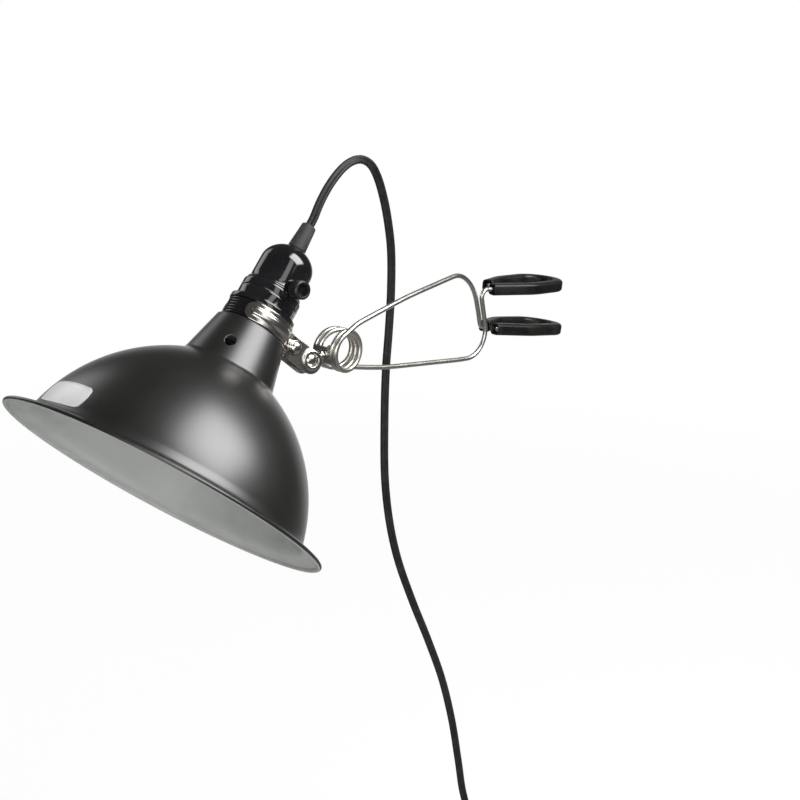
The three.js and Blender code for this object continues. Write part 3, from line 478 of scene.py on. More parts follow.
def turned(profile: Profile, segments: int = 96, finish: Callable[[int], int] = lambda row: 0) -> Surface:
    """Turns a closed profile about Z.

    Args:
        profile: [radius, height] pairs in millimetres; a point at radius 0 becomes a pole.
        segments: Steps around.
        finish: The finish number of each profile segment.

    Returns:
        The closed surface.
    """
    step = 2 * math.pi / segments
    rows = [[polar(radius, k * step, height) for k in range(segments)] for radius, height in profile]
    return Surface.wrapped(rows, along=profile[0][0] > 0 or profile[-1][0] > 0, finish=finish)


def drum(radius: float, low: float, high: float, place: Matrix, segments: int = 48,
         finish: int = 0) -> bpy.types.Object:
    """Makes a plain closed cutter along Z for `combined`, in millimetres.

    Args:
        radius: Its radius.
        low: Its lower end.
        high: Its upper end.
        place: From its own axes to the frame.
        segments: Steps around.
        finish: Which of the cut piece's finishes the hole's wall takes.

    Returns:
        The cutter.
    """
    profile: Profile = [(0, low), (radius, low), (radius, high), (0, high)]
    obj = turned(profile, segments, lambda row: finish).formed("cutter", place)
    for _ in range(finish + 1):
        obj.data.materials.append(None)
    tidy_mesh(obj, 32)
    return obj


def arc(cx: float, cy: float, radius: float, start: float, end: float, steps: int) -> Profile:
    """Returns the points of an arc about (cx, cy) between two angles in degrees."""
    angles = (math.radians(start + (end - start) * i / steps) for i in range(steps + 1))
    return [(cx + radius * math.cos(a), cy + radius * math.sin(a)) for a in angles]


def rounded(profile: Profile, radius: float, steps: int = 4) -> Profile:
    """Rounds the corners of an open profile.

    Args:
        profile: The corners.
        radius: The rounding, in millimetres, cut down where a side is too short for it.
        steps: Points on each round.

    Returns:
        The profile with its inner corners rounded.
    """
    result = [profile[0]]
    for before, corner, after in zip(profile, profile[1:], profile[2:]):
        p, c, n = Vector(before), Vector(corner), Vector(after)
        reach = min(radius, (p - c).length * 0.45, (n - c).length * 0.45)
        if reach < 1e-4:
            result.append(corner)
            continue
        a, b = c + (p - c).normalized() * reach, c + (n - c).normalized() * reach
        for i in range(steps + 1):
            t = i / steps
            q = a * (1 - t) ** 2 + c * (2 * t * (1 - t)) + b * t * t
            result.append((q.x, q.y))
    return [*result, profile[-1]]


@dataclass
class Route:
    """A centre line in metres: its points, its directions and the side that its section keeps."""

    points: list[Vector]
    tangents: list[Vector]
    sides: list[Vector]

    def length(self) -> float:
        """Returns the length in metres."""
        return distances(self.points)[-1]


def carried_sides(tangents: Sequence[Vector], start: Vector) -> list[Vector]:
    """Carries a side vector along a line without twisting it.

    Args:
        tangents: The line's directions.
        start: The side at the first point.

    Returns:
        One unit side for each point.
    """
    sides, side = [], start.copy()
    for before, tangent in zip([tangents[0], *tangents], tangents):
        side = before.rotation_difference(tangent) @ side
        side = (side - tangent * side.dot(tangent)).normalized()
        sides.append(side)
    return sides


@dataclass
class Corner:
    """A corner of a bent wire: where its straight runs would meet, and its bend radius, in mm."""

    at: Vector
    bend: float = 0.0


def bent_route(corners: Sequence[Corner], side: Vector, degrees: float = 5) -> Route:
    """Joins straight runs with arcs.

    Args:
        corners: The corners in order, in millimetres.
        side: The side vector at the start.
        degrees: Bend per step.

    Returns:
        The route in metres.
    """
    points = [corners[0].at.copy()]
    tangents = [(corners[1].at - corners[0].at).normalized()]
    for before, here, after in zip(corners, corners[1:], corners[2:]):
        ahead = (here.at - before.at).normalized()
        away = (after.at - here.at).normalized()
        turn = ahead.angle(away)
        inward = (away - ahead * away.dot(ahead)).normalized()
        start = here.at - ahead * here.bend * math.tan(turn / 2)
        centre = start + inward * here.bend
        steps = max(2, math.ceil(math.degrees(turn) / degrees))
        for k in range(steps + 1):
            a = turn * k / steps
            points.append(centre - inward * here.bend * math.cos(a) + ahead * here.bend * math.sin(a))
            tangents.append(ahead * math.cos(a) + inward * math.sin(a))
    points.append(corners[-1].at.copy())
    tangents.append(tangents[-1].copy())
    return Route([p * MM for p in points], tangents, carried_sides(tangents, side))


def with_mouths(route: Route, depths: Sequence[float]) -> Route:
    """Adds stations near both ends of a route whose end runs are straight.

    Args:
        route: The route.
        depths: Distances from each end, in millimetres, shorter than the end runs.

    Returns:
        The longer route.
    """
    points, tangents, sides = (list(part) for part in (route.points, route.tangents, route.sides))
    for end, at, way in ((0, 1, 1), (-1, -1, -1)):
        for depth in reversed(depths):
            points.insert(at, points[end] + tangents[end] * (way * depth) * MM)
            tangents.insert(at, tangents[end])
            sides.insert(at, sides[end])
    return Route(points, tangents, sides)


def swept(route: Route, section: Profile, dome: float = 0.0) -> Surface:
    """Sweeps a section along a route and closes both ends.

    Args:
        route: The centre line.
        section: The section, in millimetres.
        dome: How far the end caps stand out, in millimetres.

    Returns:
        The closed surface.
    """
    rows = []
    for point, tangent, side in zip(route.points, route.tangents, route.sides):
        up = tangent.cross(side)
        rows.append([point + (side * a + up * b) * MM for a, b in section])
    return Surface.tube(rows, route.points[0] - route.tangents[0] * dome * MM,
                        route.points[-1] + route.tangents[-1] * dome * MM)


def dress_cad_nodes() -> None:
    """Gives each frame node that stays visible its material."""
    for finish, names in CAD_FINISHES.items():
        for name in names:
            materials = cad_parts[name].data.materials
            materials.clear()
            materials.append(finish.material())
            log.info("dressed %s with %s", name, finish.name)


def ride(piece: bpy.types.Object, body: Body, *replaced: str) -> None:
    """Puts a piece on its body in place of frame nodes, and reports it.

    Args:
        piece: The piece.
        body: What it moves with.
        replaced: Names of the nodes it stands for.
    """
    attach(piece, body.value)
    if replaced:
        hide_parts(*replaced)
    log.info("%s rides on %s, %d faces", piece.name, body.value, len(piece.data.polygons))


def smooth_line(points: Sequence[Vector], per_span: int) -> list[Vector]:
    """Draws a centripetal spline through points.

    Args:
        points: What it goes through.
        per_span: Steps between neighbouring points.

    Returns:
        The spline's points, the given ones among them.
    """
    ends = [points[0] * 2 - points[1], *points, points[-1] * 2 - points[-2]]
    line = []
    for p0, p1, p2, p3 in zip(ends, ends[1:], ends[2:], ends[3:]):
        d0, d1, d2 = (math.sqrt((b - a).length) for a, b in ((p0, p1), (p1, p2), (p2, p3)))
        t1 = ((p1 - p0) / d0 - (p2 - p0) / (d0 + d1) + (p2 - p1) / d1) * d1
        t2 = ((p2 - p1) / d1 - (p3 - p1) / (d1 + d2) + (p3 - p2) / d2) * d1
        for k in range(per_span):
            t = k / per_span
            line.append(p1 + t1 * t + (p2 * 3 - p1 * 3 - t1 * 2 - t2) * t ** 2
                        + (p1 * 2 - p2 * 2 + t1 + t2) * t ** 3)
    return [*line, points[-1].copy()]


def evenly(line: Sequence[Vector], step: float) -> list[Vector]:
    """Spaces points evenly along a line, its two ends kept.

    Args:
        line: The line's points.
        step: About how far apart the new ones are.

    Returns:
        The new points.
    """
    lengths = distances(line)
    count = max(2, round(lengths[-1] / step))
    result, k = [], 0
    for i in range(count + 1):
        wanted = lengths[-1] * i / count
        while k < len(line) - 2 and lengths[k + 1] < wanted:
            k += 1
        share = (wanted - lengths[k]) / max(lengths[k + 1] - lengths[k], 1e-12)
        result.append(line[k].lerp(line[k + 1], min(share, 1.0)))
    return result


@dataclass
class MainsLead:
    """The flat twin lead: an arch over the head, a fall to the floor, a tied coil and a two-pin plug."""

    width: float = 5.4
    core: float = 2.9
    groove: float = 0.42
    step: float = 3.0
    floor: float = -430.0
    arch_end: float = 74.0
    coil_x: float = -65.0
    coil_y: float = -50.0
    coil_lift: float = 1.1
    turn_radii: tuple[float, ...] = (35.4, 30.0, 24.6, 24.6, 30.0, 35.4)
    entry_radius: float = 40.95
    entry_lift: float = 3.0
    first_turn_angle: float = 20.0
    swept_angle: float = 2000.0
    turn_step: int = 6
    layer_change: int = 2
    cross_from: float = 0.86
    cross_over: float = 0.14
    entry_turn: float = 70.0
    exit_turn: float = 60.0
    exit_spread: float = 5.5
    exit_drop: float = 2.1
    plug_lead: float = 4.0
    facing: RGB = (-0.75, -0.61, 0.23)
    on_edge_from: float = -360.0
    on_edge_over: float = 50.0
    bend_end: float = -20.0
    squareness: float = 0.62
    plug_stations: tuple[RGB, ...] = (
        (0.0, 4.4, 3.6), (0.03, 5.2, 4.3), (0.1, 5.5, 4.6), (0.3, 6.0, 5.0), (0.42, 6.9, 5.7),
        (0.55, 9.6, 6.4), (0.68, 11.9, 6.9), (0.78, 12.5, 7.0), (0.95, 12.5, 7.0),
        (0.985, 12.1, 6.6), (1.0, 11.4, 5.9))
    points: tuple[RGB, ...] = (
        (-239.3, 13.2, 51.4), (-236.6, 13.2, 55.2), (-231.7, 13.4, 64.4), (-223.7, 13.6, 75.4),
        (-213.6, 13.8, 84.6), (-205.1, 14, 88.9), (-196.2, 14.1, 90), (-187.4, 14.2, 86.8),
        (-180, 14.5, 79.2), (-171.5, 15, 64.7), (-165, 15.3, 48.7), (-160.2, 15.6, 32.5),
        (-156.6, 16, 6), (-155.7, 16, -20), (-155.5, 16, -47), (-153.5, 15.5, -81.2),
        (-149.2, 14.5, -123.4), (-141.8, 13, -156.5), (-132.5, 11, -183.4), (-116.8, 8, -216),
        (-98, 5, -250.6), (-81, 2, -285), (-68, -1, -321), (-59, -4, -356), (-52, -7, -386),
        (-43, -11, -409), (-32.5, -17, -423), (-26, -25, -427), (-26.5, -36, -427))

    def coil_point(self, swept_angle: float) -> Vector:
        """Follows the coil's centre line.

        Args:
            swept_angle: How far the coil has turned, in degrees.

        Returns:
            The point, in mm.
        """
        whole, share = divmod(swept_angle / 360, 1)
        turn = int(whole)
        after = min(turn + 1, len(self.turn_radii) - 1)
        cross = eased((share - self.cross_from) / self.cross_over)
        radius = self.turn_radii[turn] + (self.turn_radii[after] - self.turn_radii[turn]) * cross
        row = 0.5 + (1.0 if turn > self.layer_change else cross if turn == self.layer_change else 0.0)
        height = self.floor + self.coil_lift + self.width * row
        entering = 1 - eased(swept_angle / self.entry_turn)
        left = self.swept_angle - swept_angle
        leaving = min(max((self.exit_turn - left) / self.exit_turn, 0.0), 1.0) ** 2
        radius += (self.entry_radius - self.turn_radii[0]) * entering + self.exit_spread * leaving
        height += (self.floor + self.entry_lift - height) * entering - self.exit_drop * leaving
        a = math.radians(self.first_turn_angle - swept_angle)
        return Vector((self.coil_x + radius * math.cos(a), self.coil_y + radius * math.sin(a), height))

    def section(self) -> Profile:
        """Draws the twin section.

        Returns:
            Two round cores joined by a web, with a groove along each side.
        """
        r, apart, web = self.core / 2, (self.width - self.core) / 2, self.core / 2 - self.groove
        return [*arc(apart, 0, r, -118, 118, 10), (0, web), *arc(-apart, 0, r, 62, 298, 10), (0, -web)]

    def sides(self, line: Sequence[Vector], tangents: Sequence[Vector]) -> list[Vector]:
        """Turns the flat of the lead: across the fall, then on edge for the coil.

        Args:
            line: The centre line.
            tangents: Its directions.

        Returns:
            The unit side vector, along the width, at each point.
        """
        facing, result = Vector(self.facing), []
        for point, tangent in zip(line, tangents):
            flat = tangent.cross(facing).normalized()
            on_edge = eased((self.on_edge_from - point.z / MM) / self.on_edge_over)
            side = flat.lerp(-Z_AXIS, on_edge)
            side = (side - tangent * side.dot(tangent)).normalized()
            if result and side.dot(result[-1]) < 0:
                side.negate()
            result.append(side)
        return result

    def route(self, line: list[Vector], before: Vector, after: Vector) -> Route:
        """Makes a route of a stretch of the lead.

        Args:
            line: The stretch.
            before: The point just before it.
            after: The point just after it.

        Returns:
            The route.
        """
        whole = [before, *line, after]
        tangents = [(b - a).normalized() for a, b in zip(whole, whole[2:])]
        return Route(line, tangents, self.sides(line, tangents))

    def build(self) -> None:
        given = [mm(*p) for p in self.points]
        angles = [*range(self.turn_step, int(self.swept_angle) + 1, self.turn_step), self.swept_angle]
        turns = [self.coil_point(angle) * MM for angle in angles]
        line = evenly([*smooth_line(given, 12), *turns, turns[-1] + mm(0, self.plug_lead, 0)], self.step * MM)
        step = (line[1] - line[0]).length
        cut = next(i for i in range(len(line)) if i * step >= self.arch_end * MM)
        upper = self.route(line[:cut + 1], line[0] * 2 - line[1], line[cut + 1])
        lower = self.route(line[cut:], line[cut - 1], line[-1] * 2 - line[-2])
        plug = self.plug()
        arch = swept(upper, self.section()).piece("lead_arch", [CORD_BLACK], crease=60)
        fall = swept(lower, self.section()).piece("lead_fall_and_coil", [CORD_BLACK], crease=60)
        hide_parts("cord_upper")
        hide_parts("cord_lower", "cord_coil")
        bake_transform(arch)
        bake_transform(fall)
        upper.length()
        lower.length()
        log.info("%s and %s: %.3f m over the head and %.3f m to the plug", arch.name, fall.name,
                 upper.length(), lower.length())

    def plug(self) -> bpy.types.Object:
        """Makes the flat plug, whose body swells smoothly from the lead to its pin face.

        Returns:
            The plug.
        """
        low, high = (Vector(corner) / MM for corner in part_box("plug_body"))
        middle, sides, rows = (low + high) / 2, 40, []
        for share, half_width, half_height in self.plug_stations:
            y, row = low.y + (high.y - low.y) * share, []
            for k in range(sides):
                c, s = math.cos(2 * math.pi * k / sides), math.sin(2 * math.pi * k / sides)
                x = math.copysign(abs(c) ** self.squareness, c) * half_width
                z = math.copysign(abs(s) ** self.squareness, s) * half_height
                row.append(mm(middle.x + x, y, middle.z + z))
            rows.append(row)
        body = Surface.tube(rows, mm(middle.x, low.y, middle.z), mm(middle.x, high.y, middle.z))
        plug = body.piece("plug_moulding", [PLUG_BLACK], crease=50)
        ride(plug, Body.CLIP, "plug_body")
        return plug


@dataclass
class SpringClip:
    """One length of nickelled wire: the coil, the two crossing arms and the loops inside the jaws."""

    wire: float = 3.2
    wire_end: float = 0.8
    origin: float = -75.0
    coil_radius: float = 11.9
    coil_to_mouth: float = 146.0
    coil_drop: float = 22.9
    pitch: float = 3.5
    coil_front: float = 8.6
    splay: float = 6.2
    upper_slope: float = 30.0
    upper_bend_at: float = 13.0
    upper_middle: tuple[float, float] = (94.0, 6.2)
    upper_knee: tuple[float, float] = (33.0, 16.4)
    upper_shoulder: tuple[float, float] = (12.0, 7.0)
    upper_shin: tuple[float, float] = (3.0, -13.0)
    upper_hook_at: float = 0.6
    lower_slope: float = -7.4
    lower_bend_at: float = 48.0
    lower_knee: tuple[float, float] = (22.0, -43.0)
    lower_shin: tuple[float, float] = (-8.0, -42.2)
    lower_hook_back: float = 8.9
    crossing: float = 2.2
    upper_reach: float = 75.0
    lower_reach: float = 80.0
    upper_entry: float = -1.0
    lower_entry: float = 4.0
    upper_end: float = 13.0
    lower_end: float = 3.0
    end_offset: float = 8.3
    half_width: float = 15.0
    limb_start: float = 36.0
    limb_bend: float = 34.0
    sleeve: float = 8.0
    sleeve_round: float = 2.2
    sleeve_start: float = 3.5
    mouth_share: float = 0.76
    lip_share: float = 0.09
    lip_depth: float = 0.5
    mouth_depth: float = 6.0
    wire_room: float = 0.3
    lower_jaw_slope: float = -4.4
    board_gap: float = 18.6

    def turn_offset(self, angle: float) -> float:
        """Returns how far the wire is from the middle plane at an angle round the coil, in mm."""
        spread = self.splay * (1 - math.cos(math.radians(angle))) / 2 if angle > 720 else 0.0
        return self.pitch * (angle - 180) / 360 - self.coil_front + spread

    def centre(self) -> Vector:
        """Returns the middle of the coil, in mm."""
        return Vector((self.origin - self.coil_to_mouth, 0, -self.coil_drop))

    def coil_point(self, angle: float) -> Vector:
        """Returns the wire's centre in the coil, in mm."""
        a, r = math.radians(angle), self.coil_radius
        return self.centre() + Vector((r * math.cos(a), self.turn_offset(angle), r * math.sin(a)))

    def ends(self) -> tuple[float, float]:
        """Returns the angles at which the upper and the lower arm leave the coil."""
        return 90 + self.upper_slope, 3 * 360 + 270 + self.lower_slope

    def coil(self) -> Route:
        """Winds the coil.

        Returns:
            Its route.
        """
        (first, last), steps = self.ends(), 220
        points = [self.coil_point(first + (last - first) * i / steps) * MM for i in range(steps + 1)]
        tangents = [(points[min(i + 1, steps)] - points[max(i - 1, 0)]).normalized()
                    for i in range(steps + 1)]
        return Route(points, tangents, carried_sides(tangents, Vector((0, 1, 0))))

    def loop(self, side: float, reach: float, entry: float, end: float) -> list[RGB]:
        """Lists a jaw's corners.

        Args:
            side: 1 or -1, the side that the wire enters on.
            reach: How far the jaw reaches from the mouth.
            entry: Where its first limb starts.
            end: Where its second limb ends.

        Returns:
            Reach, offset and bend of each corner.
        """
        tip, wide = self.half_width - 0.1, side * self.half_width
        return [(entry, side * self.crossing, self.wire), (self.limb_start, wide, self.limb_bend),
                (reach, wide, tip), (reach, -wide, tip),
                (self.limb_start, -wide, self.limb_bend), (end, -side * self.end_offset, 0)]

    def upper_loop(self) -> list[Corner]:
        """Returns the corners of the upper jaw's wire."""
        return [Corner(Vector((x + self.origin, y, self.sleeve / 2)), bend)
                for x, y, bend in self.loop(-1, self.upper_reach, self.upper_entry, self.upper_end)]

    def lower_loop(self) -> list[Corner]:
        """Bends the lower jaw's wire, which slopes away from the board.

        Returns:
            Its corners.
        """
        slope = math.radians(self.lower_jaw_slope)
        depth = -self.board_gap - self.sleeve / 2
        return [Corner(Vector((x * math.cos(slope) + self.origin, y, depth + x * math.sin(slope))), bend)
                for x, y, bend in self.loop(1, self.lower_reach, self.lower_entry, self.lower_end)]

    def arm_start(self, angle: float, slope: float) -> tuple[Vector, Vector]:
        """Returns where an arm leaves the coil and its direction."""
        a = math.radians(slope)
        return self.coil_point(angle), Vector((math.cos(a), 0, math.sin(a)))

    def shortened(self, corners: list[Corner]) -> list[Corner]:
        """Returns a loop whose last corner is drawn back along the wire."""
        back = (corners[-2].at - corners[-1].at).normalized()
        return [*corners[:-1], Corner(corners[-1].at + back * self.sleeve / 4)]

    def back(self, place: tuple[float, float], offset: float, bend: float) -> Corner:
        """Returns a corner given by its distance back from the mouth, its height and its offset."""
        return Corner(Vector((self.origin - place[0], offset, place[1])), bend)

    def upper_arm(self) -> Route:
        """Bends the arm that leaves the top of the coil and ends in the lower jaw.

        Returns:
            Its route.
        """
        start, along = self.arm_start(self.ends()[0], self.upper_slope)
        loop, across = self.lower_loop(), self.crossing
        return bent_route([
            Corner(start),
            Corner(start + along * self.upper_bend_at, 35),
            self.back(self.upper_middle, start.y + across, 260),
            self.back(self.upper_knee, -across / 2, 28),
            self.back(self.upper_shoulder, across * 0.7, 36),
            self.back(self.upper_shin, across, 20),
            self.back((-self.upper_hook_at, loop[0].at.z), across, 4),
            *self.shortened(loop)], Vector((0, 1, 0)))

    def lower_arm(self) -> Route:
        """Bends the arm that leaves the bottom of the coil and ends in the upper jaw.

        Returns:
            Its route.
        """
        start, along = self.arm_start(self.ends()[1], self.lower_slope)
        loop, across = self.upper_loop(), self.crossing
        return bent_route([
            Corner(start),
            Corner(start + along * self.lower_bend_at - Vector((0, across, 0)), 260),
            self.back(self.lower_knee, -across / 2, 200),
            self.back(self.lower_shin, -across, 17),
            self.back((self.lower_hook_back, loop[0].at.z), -across, 5),
            *self.shortened(loop)], Vector((0, 1, 0)))

    def sleeve_surface(self, loop: list[Corner]) -> Surface:
        """Makes a jaw's sleeve: a soft square tube with rounded lips, open round the wire at both mouths.

        Args:
            loop: The corners of the wire inside it.

        Returns:
            The closed surface.
        """
        limb = (loop[1].at - loop[0].at).normalized()
        corners = [Corner(loop[0].at + limb * self.sleeve_start), *loop[1:]]
        up = (corners[1].at - corners[0].at).cross(corners[2].at - corners[1].at).normalized()
        route = with_mouths(bent_route(corners, up), (0.15, 0.5, 1.2, 3.0, self.mouth_depth))
        half = self.sleeve / 2 - self.sleeve_round
        outline: list[Vector] = []
        for x, y, start in ((1, 1, 0), (-1, 1, 90), (-1, -1, 180), (1, -1, 270)):
            outline += map(Vector, arc(x * half, y * half, self.sleeve_round, start, start + 90, 6))
        gone = [far / MM for far in distances(route.points)]
        outer, inner = [], []
        for point, tangent, side, far in zip(route.points, route.tangents, route.sides, gone):
            depth, across = min(far, gone[-1] - far), tangent.cross(side)
            lip = self.lip_share * max(0.0, 1 - depth / self.lip_depth) ** 2
            bore = [(v * (self.mouth_share + lip)).lerp(v.normalized() * (self.wire / 2 + self.wire_room),
                                                        eased(depth / self.mouth_depth)) for v in outline]
            outer.append([point + (side * v.x + across * v.y) * (1 - lip) * MM for v in outline])
            inner.append([point + (side * v.x + across * v.y) * MM for v in bore])
        return Surface.wrapped([*outer, *reversed(inner)])

    def build(self) -> None:
        """Makes the wire's three stretches and the two sleeves."""
        section = arc(0, 0, self.wire / 2, 0, 360, 18)[:-1]
        coil = swept(self.coil(), section).piece("clip_coil_wire", [SPRING_NICKEL])
        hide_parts("clip_coil")
        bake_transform(coil)
        log.info("%s is wound between the two arms", coil.name)
        for route, name, body, node in (
                (self.upper_arm(), "clip_upper_arm_wire", Body.SQUEEZE_ARM, "clip_upper_arm"),
                (self.lower_arm(), "clip_lower_arm_wire", Body.CLIP, "clip_lower_arm")):
            ride(swept(route, section, self.wire_end).piece(name, [SPRING_NICKEL]), body, node)
        for loop, name, body, node in (
                (self.upper_loop(), "upper_jaw_grip", Body.CLIP, "upper_jaw_sleeve"),
                (self.lower_loop(), "lower_jaw_grip", Body.SQUEEZE_ARM, "lower_jaw_sleeve")):
            ride(self.sleeve_surface(loop).piece(name, [JAW_RUBBER], crease=50), body, node)


@dataclass
class BallStud:
    """The turned ball and its neck, bolted through the coil."""

    ball: float = 12.0
    neck: float = 3.6
    to_coil: float = 27.2
    slope: float = 8.0
    shoulder: float = 7.0
    shoulder_end: float = 11.7
    shank_end: float = 24.1

    def place(self) -> Matrix:
        """Finds the stud.

        Returns:
            The matrix from its own axis, ball first, to the frame.
        """
        a = math.radians(self.slope)
        along = Vector((math.cos(a), 0, math.sin(a)))
        centre = (SpringClip().centre() - along * self.to_coil) * MM
        return Matrix.Translation(centre) @ Z_AXIS.rotation_difference(along).to_matrix().to_4x4()

    def build(self) -> None:
        """Makes the stud."""
        r, n, wide, end = self.ball / 2, self.neck / 2, self.shoulder / 2, self.shoulder_end
        neck_angle = math.degrees(math.acos((n + 0.35) / r))
        collar = rounded([(n, end - 2.7), (wide - 0.6, end - 2.5), (wide, end - 1.4), (wide, end), (n, end)], 0.8)
        profile = [(0.0, -r), *arc(0, 0, r, -86, neck_angle, 28), (n + 0.1, r + 0.6), (n, r + 1.6), *collar,
                   (n, self.shank_end - 0.5), (n - 0.5, self.shank_end), (0, self.shank_end)]
        ride(turned(profile, 64).piece("ball_and_neck", [NICKEL], self.place(), crease=40), Body.STUD, "ball_stud")


@dataclass
class HeadFrame:
    """Where the head stands: its link from the ball and its attitude at rest."""

    link: float = 41.3
    tilt: float = 36.2
    turn: float = 18.7

    def place(self) -> Matrix:
        """Returns the matrix from the socket's own axes, Z up the socket, to the frame."""
        ball = Matrix.Translation(BallStud().place().to_translation())
        return ball @ turned_by(self.tilt, "Y") @ turned_by(-self.turn, "Z") @ moved(-self.link, 0, 0)


HEAD = HeadFrame()


@dataclass
class SocketClamp:
    """Two stamped halves that hug the socket's thread and pinch the ball, with their screw."""

    band_inner: float = 20.3
    sheet: float = 1.0
    half_gap: float = 4.5
    plate_drop: float = 1.4
    plate_end: float = 7.3
    plate_start: float = 26.0
    screw_at: float = 27.5
    screw: float = 4.0
    screw_head: float = 4.2
    band_top: float = 5.7
    band_width: float = 11.0
    band_start: float = 34.0
    finger_angle: float = 140.0
    ball_hole: float = 4.26
    neck_start: float = 22.0
    neck_side: float = 8.0
    neck_widening: float = 4.5
    neck_sag: float = 0.9
    bead_height: float = 1.1
    bead_half_width: float = 2.3
    bead_start: float = 27.0
    bead_run_in: float = 3.0
    bead_before: float = 5.0
    bead_tip: float = 6.2
    bead_slope: float = 1.3
    seat_height: float = 0.9
    seat_from_hole: float = 0.6
    seat_width: float = 1.5
    edge_round: float = 0.22
    edge_reach: float = 0.35

    def strip(self) -> list[Vector]:
        """Draws the middle line of a half in its plan.

        Returns:
            The line's points, in mm, from the plate's end to the finger's tip.
        """
        y, r = self.half_gap + self.sheet / 2, self.band_inner + self.sheet / 2
        xs = (HEAD.link + self.plate_end - i * 0.6 for i in range(39))
        line = [Vector((x, y, 0)) for x in xs if x > self.plate_start]
        a = math.radians(self.band_start)
        p0, p3 = Vector((self.plate_start, y, 0)), Vector((r * math.cos(a), r * math.sin(a), 0))
        p1, p2 = p0 + Vector((-4.2, 0, 0)), p3 + Vector((math.sin(a), -math.cos(a), 0)) * 3.6
        for i in range(16):
            t = i / 16
            line.append(p0 * (1 - t) ** 3 + p1 * 3 * t * (1 - t) ** 2 + p2 * 3 * t * t * (1 - t) + p3 * t ** 3)
        return line + [Vector((*point, 0)) for point in arc(0, 0, r, self.band_start, self.finger_angle, 72)]

    def edges(self, point: Vector, left: float) -> tuple[float, float]:
        """Finds a half's edges at a point of its strip.

        Args:
            point: A point of the strip.
            left: How much of the strip is left before the finger's tip.

        Returns:
            The lower and the upper height, in mm.
        """
        link, end = HEAD.link, self.plate_end
        middle, half = self.band_top - self.band_width / 2, self.band_width / 2
        if point.x > link:
            reach = math.sqrt(max(end ** 2 - (point.x - link) ** 2, 0.01))
            return -self.plate_drop - reach, -self.plate_drop + reach
        if point.x > self.neck_start and point.y < self.neck_side:
            share = (point.x - self.neck_start) / (link - self.neck_start)
            drop = -self.plate_drop - end - middle + half + self.neck_sag
            low = middle - half + drop * min(share * self.neck_widening, 1.0) - self.neck_sag * share
            return low, self.band_top + (end - self.plate_drop - self.band_top) * share
        if left < half:
            half = math.sqrt(max(half ** 2 - (half - left) ** 2, 0.01))
        return middle - half, middle + half

    def relief(self, point: Vector, height: float, left: float, along: float) -> float:
        """Finds how far the sheet is pressed outward.

        Args:
            point: A point of the strip.
            height: A height on the half there.
            left: How much of the strip is left before the finger's tip.
            along: How much of the strip is behind.

        Returns:
            The distance in mm.
        """
        middle = self.band_top - self.band_width / 2
        run_in = max(0.0, self.bead_run_in - max(0.0, along - self.bead_start))
        reach = math.hypot(height - middle, max(0.0, self.bead_tip - left) + run_in)
        share = eased((reach - self.bead_half_width + 0.9) / self.bead_slope)
        bead = self.bead_height * (1 - share) if along > self.bead_start - self.bead_before else 0.0
        from_hole = math.hypot(point.x - HEAD.link, height) - self.ball_hole
        seat = self.seat_height * math.exp(-((from_hole - self.seat_from_hole) / self.seat_width) ** 2)
        return bead + (seat if point.y < self.neck_side - 1 else 0.0)

    def half(self, name: str, side: int) -> bpy.types.Object:
        """Makes one stamped half.

        Args:
            name: The piece's name.
            side: 1 for the far half, -1 for the near one.

        Returns:
            The piece.
        """
        line = self.strip()
        lengths = distances(line)
        columns, rows = 30, []
        for i, point in enumerate(line):
            ahead, left = line[min(i + 1, len(line) - 1)] - line[max(i - 1, 0)], lengths[-1] - lengths[i]
            out = Vector((ahead.y, -ahead.x, 0)).normalized()
            if out.dot(Vector((0, 1, 0)) if point.x > 20 else point) < 0:
                out.negate()
            low, high = self.edges(point, left)
            outer, inner = [], []
            for k in range(columns + 1):
                height = low + (high - low) * (0.5 - 0.5 * math.cos(math.pi * k / columns))
                press = self.relief(point, height, left, lengths[i])
                near_edge = min(height - low, high - height)
                soft = self.sheet / 2 - self.edge_round * max(0.0, 1 - near_edge / self.edge_reach) ** 2
                for row, shift in ((outer, press + soft), (inner, press - soft)):
                    q = point + out * shift
                    row.append(mm(q.x, q.y * side, height))
            rows.append(outer + inner[::-1])
        hubs = (sum(row, Vector()) / len(row) for row in (rows[0], rows[-1]))
        place, across = HEAD.place(), turned_by(90, "X")
        piece = Surface.tube(rows, *hubs).piece(name, [NICKEL], place, crease=38)
        combined(piece, 38, [
            drum(self.ball_hole, -12, 12, place @ moved(HEAD.link, 0, 0) @ across, 64),
            drum(self.screw / 2 + 0.3, -12, 12, place @ moved(self.screw_at, 0, 0) @ across)])
        return piece

    def screw_piece(self) -> bpy.types.Object:
        """Makes the screw with its domed head on the near side.

        Returns:
            The piece.
        """
        seat, r = self.half_gap + self.sheet + 0.3, self.screw / 2
        end = seat + 4.5
        profile = [(0.0, -seat - 2.8), (1.2, -seat - 2.74), (2.3, -seat - 2.45), (3.2, -seat - 1.9),
                   (3.85, -seat - 1.2), (self.screw_head, -seat - 0.45), (self.screw_head, -seat),
                   (r, -seat), (r, end - 0.4), (r - 0.4, end), (0, end)]
        place = HEAD.place() @ moved(self.screw_at, 0, 0) @ turned_by(-90, "X")
        return turned(profile, 48).piece("clamp_screw_domed", [NICKEL], place, crease=45)

    def build(self) -> None:
        """Makes the halves and the screw."""
        ride(self.half("clamp_band_near", -1), Body.HEAD, "clamp_half_front")
        ride(self.half("clamp_band_far", 1), Body.HEAD, "clamp_half_rear")
        ride(self.screw_piece(), Body.HEAD, "clamp_screw")


